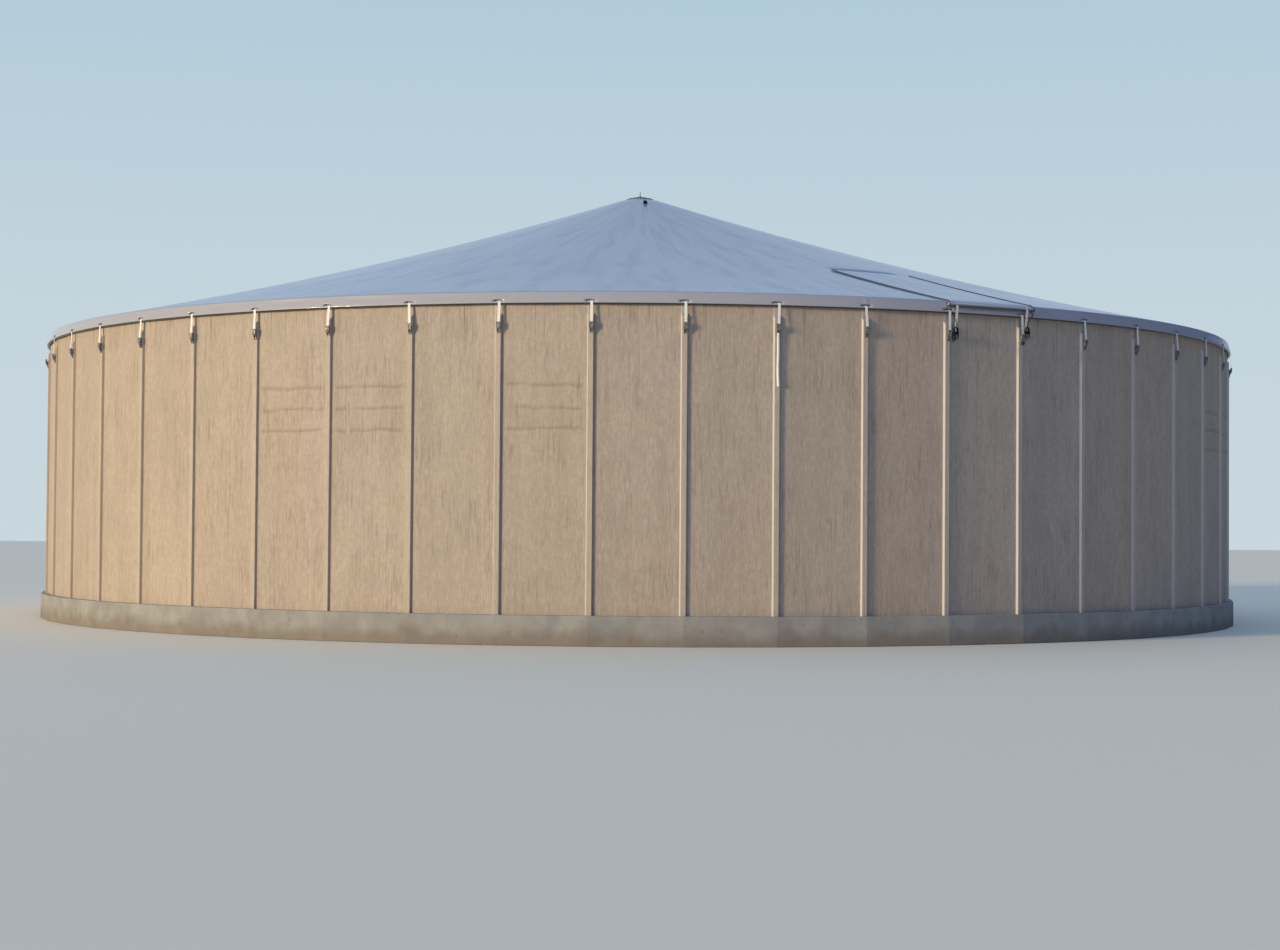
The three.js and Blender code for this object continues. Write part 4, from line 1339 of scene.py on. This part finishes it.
def flap_columns():
    """Places across the flap, with a step at each welded border."""
    width = FLAP_RIGHT - FLAP_LEFT
    step = BORDER + 0.003
    marks = [0, BORDER, *(step + (width - 2 * step) * k / 26 for k in range(27)), width - BORDER, width]
    return [FLAP_LEFT + mark for mark in marks]


# %% Build the flap
def flap_point_at(kind, value, across):
    """A point of the flap's outer face."""
    from_edge = min(across - FLAP_LEFT, FLAP_RIGHT - across)
    border = BORDER_RISE if from_edge <= BORDER else 0.0
    if kind == "out":
        ripple = RIPPLE * math.sin(across * 21 + value * 3) * min(1.0, from_edge / 0.2)
        settle = min(1.0, (value - FLAP_TOP_RADIUS) / 0.3)
        return on_flap(across, value, border + abs(ripple) * settle)
    radius, height = value
    return place(radius + border, edge_bearing(across), height)


def build_flap():
    """The flap's outer face."""
    bm = bmesh.new()
    marks = flap_columns()
    grid = [
        [bm.verts.new(flap_point_at(kind, value, across)) for across in marks]
        for kind, value in flap_rows()
    ]
    for row, after in zip(grid, grid[1:]):
        for k in range(len(row) - 1):
            bm.faces.new((row[k], after[k], after[k + 1], row[k + 1]))
    return bm


flap = finish_piece(build_flap(), "access_flap_sheet", cover_fabric, ("access_flap",))
thicken(flap)

# %% [markdown]
# ## Hem tubes
# A steel tube lies in the cover's hem pocket all the way round, in lengths of four panels.
# Only the slots and the gaps between the lengths show it. A swept round section follows the
# bend of the wall.

# %% Hem tubes
TUBE_GAP = 0.004


def add_hem_tube(name, line, height, start, end, steps):
    """A tube that follows the wall from one bearing to another."""
    route = [place(line, start + (end - start) * k / steps, height) for k in range(steps + 1)]
    section = round_section(TUBE_RADIUS, 16)
    bm = bmesh.new()
    sweep(bm, route, lambda _: section)
    tidy_normals(bm)
    finish_piece(bm, name, galvanised)


gap = TUBE_GAP / TUBE_LINE
set_angle = RIBS_PER_SET * PITCH_ANGLE
for number in range(SETS):
    start = number * set_angle + gap
    end = start + set_angle - 2 * gap
    add_hem_tube(f"hem_tube_{number + 1:02d}", TUBE_LINE, TUBE_Z, start, end, 32)
print(SETS, "lengths of hem tube, each", round(set_angle * TUBE_LINE, 3), "m long")

# %% [markdown]
# ## Straps
# Each strap is a loop of white webbing round the hem tube. It comes out of a slot in the
# skirt, passes down in front of the hem and winds onto the ratchet's spindle. It is a flat
# band drawn side-on and then turned to each rib.

# %% One strap and its winding
SPINDLE_OUT = 0.026
SPINDLE_BELOW_TOP = 0.062
SPINDLE_Z = RATCHET_TOP - SPINDLE_BELOW_TOP
SPINDLE_RADIUS = 0.0085
WOUND_RADIUS = 0.0165
WOUND_INNER = 0.0098
WOUND_TURNS = 3
WOUND_STEPS = 14
STRAP_LEAN = 0.014


def strap_route(tube_line, tube_z, seat):
    """The front leg of a strap, from the tube's top to the spindle."""
    clear = tube_line + POCKET_OUT + 0.0018
    tube = (tube_line, tube_z)
    route = [around(tube, TUBE_RADIUS + 0.0013, math.radians(d)) for d in (165, 130, 95, 66, 42)]
    route += [(clear - 0.002, tube_z + 0.009), (clear, tube_z + 0.001)]
    route += [(clear + 0.0008, tube_z - 0.02), (clear, tube_z - 0.05)]
    touch = Vector((seat + SPINDLE_OUT + WOUND_RADIUS - 0.001, SPINDLE_Z + 0.004))
    last = Vector(route[-1])
    return route + [tuple(last.lerp(touch, t)) for t in (0.25, 0.5, 0.75, 1)]


def leaning(across):
    """The matrix that leans a strap sideways from its spindle up to its hem tube."""
    lean = Matrix.Identity(4)
    lean[0][2] = across / (TUBE_Z - SPINDLE_Z)
    lean[0][3] = -lean[0][2] * SPINDLE_Z
    return lean


def winding(bm, seat, matrix, middle):
    """The turns of webbing on the spindle, as one spiral band."""
    steps = WOUND_TURNS * WOUND_STEPS
    route = []
    for k in range(steps + 1):
        reach = WOUND_RADIUS - (WOUND_RADIUS - WOUND_INNER) * k / steps
        route.append(around((seat + SPINDLE_OUT, SPINDLE_Z), reach, 0.2 - 2 * math.pi * k / WOUND_STEPS))
    band(bm, route, STRAP_WIDTH, STRAP_THICKNESS - 0.0003, matrix, middle)


print(f"a strap's front leg is {TUBE_Z - SPINDLE_Z:.3f} m high")

# %% [markdown]
# ## Ratchets
# A ratchet tensioner has a bent frame with two side plates, a spindle with a toothed wheel
# at each end, a folded handle with its own two plates and a grip, and a sprung catch. Its
# foot is bolted to the concrete. It is drawn once, and copies of that mesh are turned to
# the ribs, so that its small parts cost no extra code.

# %% Parts of one ratchet
TEETH = 11
BAR_CHAMFER = 0.001
FRAME_SIDES = (0.0195, 0.0225)
WHEEL_SIDES = (0.0235, 0.0262)
HANDLE_SIDES = (0.0272, 0.0298)
CATCH_REACH = 0.026
SPINDLE_REACH = 0.0295


def toothed_wheel(bm, centre, low, high):
    """A wheel whose teeth are steep on one side."""
    tooth = ((0.0, 0.0135), (0.55, 0.0185), (0.75, 0.0185))
    outline = [
        around(centre, reach, -2 * math.pi * (k + share) / TEETH)
        for k in range(TEETH) for share, reach in tooth
    ]
    plate(bm, outline, low, high)


def cross_bar(bm, out, height, reach, radius):
    """A round bar across the ratchet, chamfered at both ends."""
    inner = reach - BAR_CHAMFER
    sections = [round_section(radius * size, 12) for size in (0.85, 1, 1, 0.85)]
    sweep(bm, [front(x, out, height) for x in (-reach, -inner, inner, reach)], lambda i: sections[i])


def build_ratchet(seat):
    """A whole ratchet at bearing zero, seated on a face at the distance seat."""
    bm = bmesh.new()
    back = seat + 0.0005
    hub = (seat + SPINDLE_OUT, SPINDLE_Z)

    def outline(*corners):
        """Corners in millimetres: out from the ratchet's back, and down from its top."""
        return [(back + out / 1000, RATCHET_TOP - down / 1000) for out, down in corners]

    side_frame = outline(
        (0, 144), (8, 144), (14, 118), (33, 88), (39, 60), (34, 38), (20, 30), (0, 34),
    )
    handle = [(hub[0] + x / 1000, hub[1] + z / 1000) for x, z in ((-12, -4), (2, -13), (14, -4))]
    handle += outline((46.5, 30), (45.5, 10), (38, 0), (27, 3), (20, 16))
    for sign in (-1, 1):
        plate(bm, side_frame, *sorted(sign * x for x in FRAME_SIDES))
        toothed_wheel(bm, hub, *sorted(sign * x for x in WHEEL_SIDES))
        plate(bm, handle, *sorted(sign * x for x in HANDLE_SIDES))
    inside_frame, inside_handle = FRAME_SIDES[0], HANDLE_SIDES[0]
    foot = outline((0, 144), (3, 144), (3, 100), (0, 100))
    catch = outline((24, 94), (30, 90), (34.5, 82), (31, 80), (22, 88))
    cover_plate = outline((44.5, 18), (46.5, 18), (47.2, 58), (44.5, 78), (42.8, 77), (45.2, 57))
    for shape, reach in ((foot, inside_frame), (catch, CATCH_REACH), (cover_plate, inside_handle)):
        plate(bm, shape, -reach, reach)
    cross_bar(bm, *hub, SPINDLE_REACH, SPINDLE_RADIUS)
    grip, pin = outline((37, 9), (12, 45))
    cross_bar(bm, *grip, inside_handle, 0.0075)
    cross_bar(bm, *pin, inside_frame, 0.004)
    bolt = outline((3, 126), (9.5, 126))
    head = round_section(0.0085, 6)
    sweep(bm, [front(0, *end) for end in bolt], lambda _: head)
    tidy_normals(bm)
    bmesh.ops.bevel(
        bm, geom=[e for e in bm.edges if e.calc_face_angle(0) > 1.2], offset=0.0006,
        segments=1, affect="EDGES",
    )
    mesh = bpy.data.meshes.new("ratchet_drawn_once")
    bm.to_mesh(mesh)
    bm.free()
    print("one ratchet has", sum(len(p.vertices) - 2 for p in mesh.polygons), "triangles")
    return mesh


def stamp(bm, drawn, matrix):
    """Adds a copy of a mesh that was drawn once."""
    bm.from_mesh(drawn)
    bmesh.ops.transform(bm, matrix=matrix, verts=bm.verts[-len(drawn.vertices):])


# %% Straps and ratchets of every rib
def finish_tensioners(straps, ratchets, straps_name, ratchets_name, replaced):
    """Makes the two pieces of a set of straps and ratchets."""
    tidy_normals(straps)
    finish_piece(straps, straps_name, white_webbing, smooth=False)
    finish_piece(ratchets, ratchets_name, ratchet_steel, (replaced,), smooth=False)


def add_tensioners():
    """A strap and a ratchet at every rib, in one pair of pieces for each wall section."""
    drawn = build_ratchet(RIB_FRONT)
    route = strap_route(TUBE_LINE, TUBE_Z, RIB_FRONT)
    for number in range(SETS):
        straps, ratchets = bmesh.new(), bmesh.new()
        for rib in range(number * RIBS_PER_SET, (number + 1) * RIBS_PER_SET):
            matrix = turn_to(rib_bearing(rib))
            leant = matrix @ leaning(STRAP_LEAN * math.sin(rib * 2.4))
            band(straps, route, STRAP_WIDTH, STRAP_THICKNESS, leant, STRAP_OFFSET)
            winding(straps, RIB_FRONT, matrix, STRAP_OFFSET)
            stamp(ratchets, drawn, matrix @ Matrix.Translation((STRAP_OFFSET, 0, 0)))
        name = f"{number + 1:02d}"
        finish_tensioners(
            straps, ratchets, f"straps_{name}", f"ratchets_{name}", f"hem_tensioners_{name}",
        )


add_tensioners()
print("straps and ratchets at", PANELS, "ribs")

# %% [markdown]
# The flap has two straps of its own. Their ratchets sit on the flat panels beside the ribs,
# so their seat is the panel's face, and their straps lean a little out of the vertical.

# %% The flap's tube, straps and ratchets
FLAP_STRAPS = ((4, 0.112), (5, 0.062))
TUBE_INSET = 0.01


def add_flap_tensioners():
    """The flap's tube and its two straps, each given by its panel and its distance from the rib."""
    start, end = edge_bearing(FLAP_LEFT + TUBE_INSET), edge_bearing(FLAP_RIGHT - TUBE_INSET)
    add_hem_tube("flap_hem_tube", FLAP_TUBE_LINE, FLAP_TUBE_Z, start, end, 16)
    drawn = build_ratchet(WALL_FACE)
    route = strap_route(FLAP_TUBE_LINE * math.cos(PITCH_ANGLE / 2), FLAP_TUBE_Z, WALL_FACE)
    straps, ratchets = bmesh.new(), bmesh.new()
    for panel, from_rib in FLAP_STRAPS:
        shift = Matrix.Translation((from_rib - PANEL_PITCH / 2, 0, 0))
        matrix = turn_to(panel * PITCH_ANGLE) @ shift
        band(straps, route, STRAP_WIDTH, STRAP_THICKNESS, matrix)
        winding(straps, WALL_FACE, matrix, 0.0)
        stamp(ratchets, drawn, matrix)
    finish_tensioners(straps, ratchets, "flap_straps", "flap_ratchets", "flap_tensioners")


add_flap_tensioners()
print(len(FLAP_STRAPS), "straps and ratchets on the flap")

# %% [markdown]
# ## The crown
# The cover's cloths meet at the crown, where a flat conical cap clamps them to the plate
# below and carries a thin spike. The cap is spun from an outline, with a rolled rim and a
# ring of bolts. The spike, the plate and the post keep their plain shapes with a steel finish.

# %% Materials: cap and vent plastic, and the spike's steel painted dark as shade
def weathered_material(name, scale, detail, edges, tones, roughness):
    """Two tones in soft patches, over a roughness that varies with them."""
    material, tree, shader = start_material(name)
    spot, _ = surface_place(tree)
    dust = noise(tree, spot, scale, detail)
    fill(tree, shader, {
        "Base Color": mix_colours(tree, smooth_step(tree, dust, *edges), *tones),
        "Roughness": math_node(tree, "MULTIPLY_ADD", dust, 0.3, roughness),
    })
    return material, tree, shader, dust


cap_plastic, tree, shader, dust = weathered_material(
    "cap_plastic", 14.0, 5.0, (0.4, 0.7), ((0.10, 0.125, 0.16, 1), (0.15, 0.175, 0.21, 1)), 0.35,
)
fill(tree, shader, {"Normal": bump(tree, dust, 0.0008)})
vent_plastic, *_ = weathered_material(
    "vent_plastic", 45.0, 5.0, (0.45, 0.75), ((0.012, 0.014, 0.018, 1), (0.04, 0.042, 0.045, 1)), 0.5,
)
# The spike's steel is painted nearly black, a painted shade of a spike seen against the bright sky, over
# weathered patches.
shaded_spike_steel, tree, shader, _ = weathered_material(
    "shaded_spike_steel", 90.0, 4.0, (0.4, 0.7), ((0.05, 0.05, 0.055, 1), (0.11, 0.1, 0.09, 1)), 0.4,
)
fill(tree, shader, {"Metallic": 0.5})
print("materials so far", len(bpy.data.materials))

# %% Crown cap, spike and bolts
CAP_THICKNESS = 0.006
CAP_STEPS = 72
CAP_BOLTS = 12
BOLT_CIRCLE = 0.19


def spun(bm, outline):
    """A closed cap made by turning an outline of [radius, height] round the axis."""
    rings = []
    for radius, height in outline:
        count = CAP_STEPS if radius > 0 else 1
        rings.append([bm.verts.new(place(radius, 2 * math.pi * k / count, height)) for k in range(count)])
    for ring, after in zip(rings, rings[1:]):
        for k in range(CAP_STEPS):
            corners = [ring[k % len(ring)], ring[(k + 1) % len(ring)]]
            corners += [after[(k + 1) % len(after)], after[k % len(after)]]
            bm.faces.new(list(dict.fromkeys(corners)))


def build_cap():
    """The cap with its rolled rim and its bolts."""
    bm = bmesh.new()
    rim = cone_height(CAP_RADIUS)
    peak = cone_height(0)
    spun(bm, [
        (0, peak + 0.0005), (CAP_RADIUS - 0.004, rim + 0.0015), (CAP_RADIUS - 0.001, rim + 0.0006),
        (CAP_RADIUS, rim + 0.002), (CAP_RADIUS - 0.001, rim + 0.0055),
        (CAP_RADIUS - 0.006, rim + 0.0075), (CAP_RADIUS - 0.02, rim + 0.0105),
        (0.12, peak - 0.0225), (0.03, peak + 0.0002), (0.022, peak + 0.0045),
        (0, peak + CAP_THICKNESS + 0.0003),
    ])
    head = round_section(0.009, 6)
    under_bolt = rim + (peak - rim) * (1 - BOLT_CIRCLE / CAP_RADIUS) + 0.0015
    for k in range(CAP_BOLTS):
        foot = place(BOLT_CIRCLE, 2 * math.pi * k / CAP_BOLTS, under_bolt)
        sweep(bm, [foot, foot + Vector((0, 0, 0.0105))], lambda _: head)
    tidy_normals(bm)
    cap = finish_piece(bm, "crown_cap_spun", cap_plastic, ("crown_cap",))
    cap.data.set_sharp_from_angle(angle=math.radians(32))


build_cap()
dress_node("crown_spike", shaded_spike_steel, STEEL_EDGE)
for name in ("crown_plate", "centre_post"):
    dress_node(name, galvanised, STEEL_EDGE)
print("a cap with", CAP_BOLTS, "bolts, a spike, a plate and a post")

# %% [markdown]
# ## The roof vent
# A small hood just below the crown lets gas out. It is a half-round shell on two short legs
# that stands on the cloth with its mouth downhill. It is drawn lying flat and then
# tilted to the slope of the strip of cover that it sits on.

# %% Roof vent
VENT_OUT = 0.7
VENT_RADIUS = 0.033
VENT_LEG = 0.022
VENT_LENGTH = 0.09
VENT_WALL = 0.004
VENT_SHOULDER = 0.006
VENT_STEPS = 16


def build_vent():
    """A hood that is closed uphill and open downhill."""
    bm = bmesh.new()

    def arch(radius, share):
        angles = [math.pi * k / VENT_STEPS for k in range(VENT_STEPS + 1)]
        curve = [around((0, VENT_LEG), radius, a) for a in angles]
        outline = [(radius, 0), *curve, (-radius, 0)]
        return [bm.verts.new((x, -VENT_LENGTH * share, z)) for x, z in outline]

    back, shoulder = arch(VENT_RADIUS - VENT_SHOULDER, 0), arch(VENT_RADIUS, 0.08)
    mouth = arch(VENT_RADIUS, 1)
    inner_back, inner_mouth = [arch(VENT_RADIUS - VENT_WALL, share) for share in (0.08, 1)]
    last = VENT_STEPS + 2
    strips = ((back, shoulder), (shoulder, mouth), (inner_mouth, inner_back), (mouth, inner_mouth))
    for one, other in strips:
        for k in range(last):
            bm.faces.new((one[k], other[k], other[k + 1], one[k + 1]))
    bm.faces.new(back)
    bm.faces.new(list(reversed(inner_back)))
    for side in (0, last):
        bm.faces.new((back[side], shoulder[side], inner_back[side]))
        bm.faces.new((shoulder[side], mouth[side], inner_mouth[side], inner_back[side]))
    bmesh.ops.holes_fill(bm, edges=[e for e in bm.edges if e.is_boundary])
    tidy_normals(bm)
    drop = cone_height(VENT_OUT) - cone_height(VENT_OUT + VENT_LENGTH)
    tilt = Matrix.Rotation(math.atan2(drop, VENT_LENGTH), 4, "X")
    spot = Matrix.Translation((0, -VENT_OUT, cone_height(VENT_OUT) + 0.0008))
    bmesh.ops.transform(bm, matrix=turn_to(PITCH_ANGLE) @ spot @ tilt, verts=bm.verts)
    vent = finish_piece(bm, "roof_vent_hood", vent_plastic, ("roof_vent",))
    vent.data.set_sharp_from_angle(angle=math.radians(40))


build_vent()
print(f"a vent {VENT_LENGTH:.3f} m long, {VENT_OUT:.2f} m from the peak")

# %% [markdown]
# ## Floor and light
# The tank stands on a plain pale floor. A low warm lamp from the left models the ribs and
# draws a soft shadow beside each strap. The fill comes from all round: warmer on the lamp's
# side, cooler and darker on the far side, and pale behind the tank, where the cover's
# slope mirrors it. The backdrop that the camera sees is a plain pale blue. The Standard view
# transform keeps the colours as they are set, with no film curve over them.

# %% Floor
FLOOR_HALF = 120
FLOOR_Z = -0.0005

mesh = bpy.data.meshes.new("floor")
corners = [(x * FLOOR_HALF, y * FLOOR_HALF, FLOOR_Z) for x, y in ((-1, -1), (1, -1), (1, 1), (-1, 1))]
mesh.from_pydata(corners, [], [(0, 1, 2, 3)])
material, tree, shader = start_material("pale_floor")
fill(tree, shader, {"Base Color": (0.82, 0.76, 0.62, 1), "Roughness": 0.95})
mesh.materials.append(material)
add_object("floor", mesh)
print("a floor", 2 * FLOOR_HALF, "m across")

# %% Sun and sky
SUN_BEARING = math.radians(-57)
SUN_HEIGHT = math.radians(9)


def add_sun():
    """A low warm sun, broad enough to soften its shadows."""
    data = bpy.data.lights.new("low_sun", "SUN")
    data.energy = 3.25
    data.angle = math.radians(10)
    data.color = (1.0, 0.815, 0.50)
    lamp = add_object("low_sun", data)
    toward = place(math.cos(SUN_HEIGHT), SUN_BEARING, math.sin(SUN_HEIGHT))
    lamp.rotation_mode = "QUATERNION"
    lamp.rotation_quaternion = toward.to_track_quat("Z", "Y")


def add_sky():
    """A soft fill from all round, and a paler plain backdrop for the camera."""
    world = bpy.data.worlds.new("sky")
    world.use_nodes = True
    tree = world.node_tree
    direction = node(tree, "ShaderNodeTexCoord").outputs["Generated"]
    x, y, up = node(tree, "ShaderNodeSeparateXYZ", {0: direction}).outputs
    across = smooth_step(tree, x, -0.9, 0.9)
    away = smooth_step(tree, x, 0.35, 0.75)
    behind = times(tree, smooth_step(tree, y, 0.3, 0.8), smooth_step(tree, x, 0.6, 0.35))
    low = layered(
        tree, (0.46, 0.33, 0.22, 1), (across, 1.0, (0.155, 0.25, 0.48, 1)),
        (away, 1.0, (0.01, 0.01, 0.013, 1)), (behind, 1.0, (0.67, 0.83, 0.94, 1)),
    )
    high = layered(
        tree, (0.37, 0.45, 0.57, 1), (across, 1.0, (0.30, 0.55, 1.05, 1)),
        (away, 1.0, (0.06, 0.11, 0.25, 1)), (behind, 1.0, (0.55, 0.66, 0.8, 1)),
    )
    all_round = mix_colours(tree, smooth_step(tree, up, 0.0, 0.6), low, high)
    horizon, zenith = (0.58, 0.68, 0.73, 1), (0.34, 0.53, 0.68, 1)
    backdrop = mix_colours(tree, smooth_step(tree, up, 0.0, 0.45), horizon, zenith)
    seen = node(tree, "ShaderNodeLightPath").outputs["Is Camera Ray"]
    fill(tree, tree.nodes["Background"], {"Color": mix_colours(tree, seen, all_round, backdrop)})
    bpy.context.scene.world = world


add_sun()
add_sky()
bpy.context.scene.view_settings.view_transform = "Standard"
print(f"a sun {math.degrees(SUN_HEIGHT):.0f} degrees high")
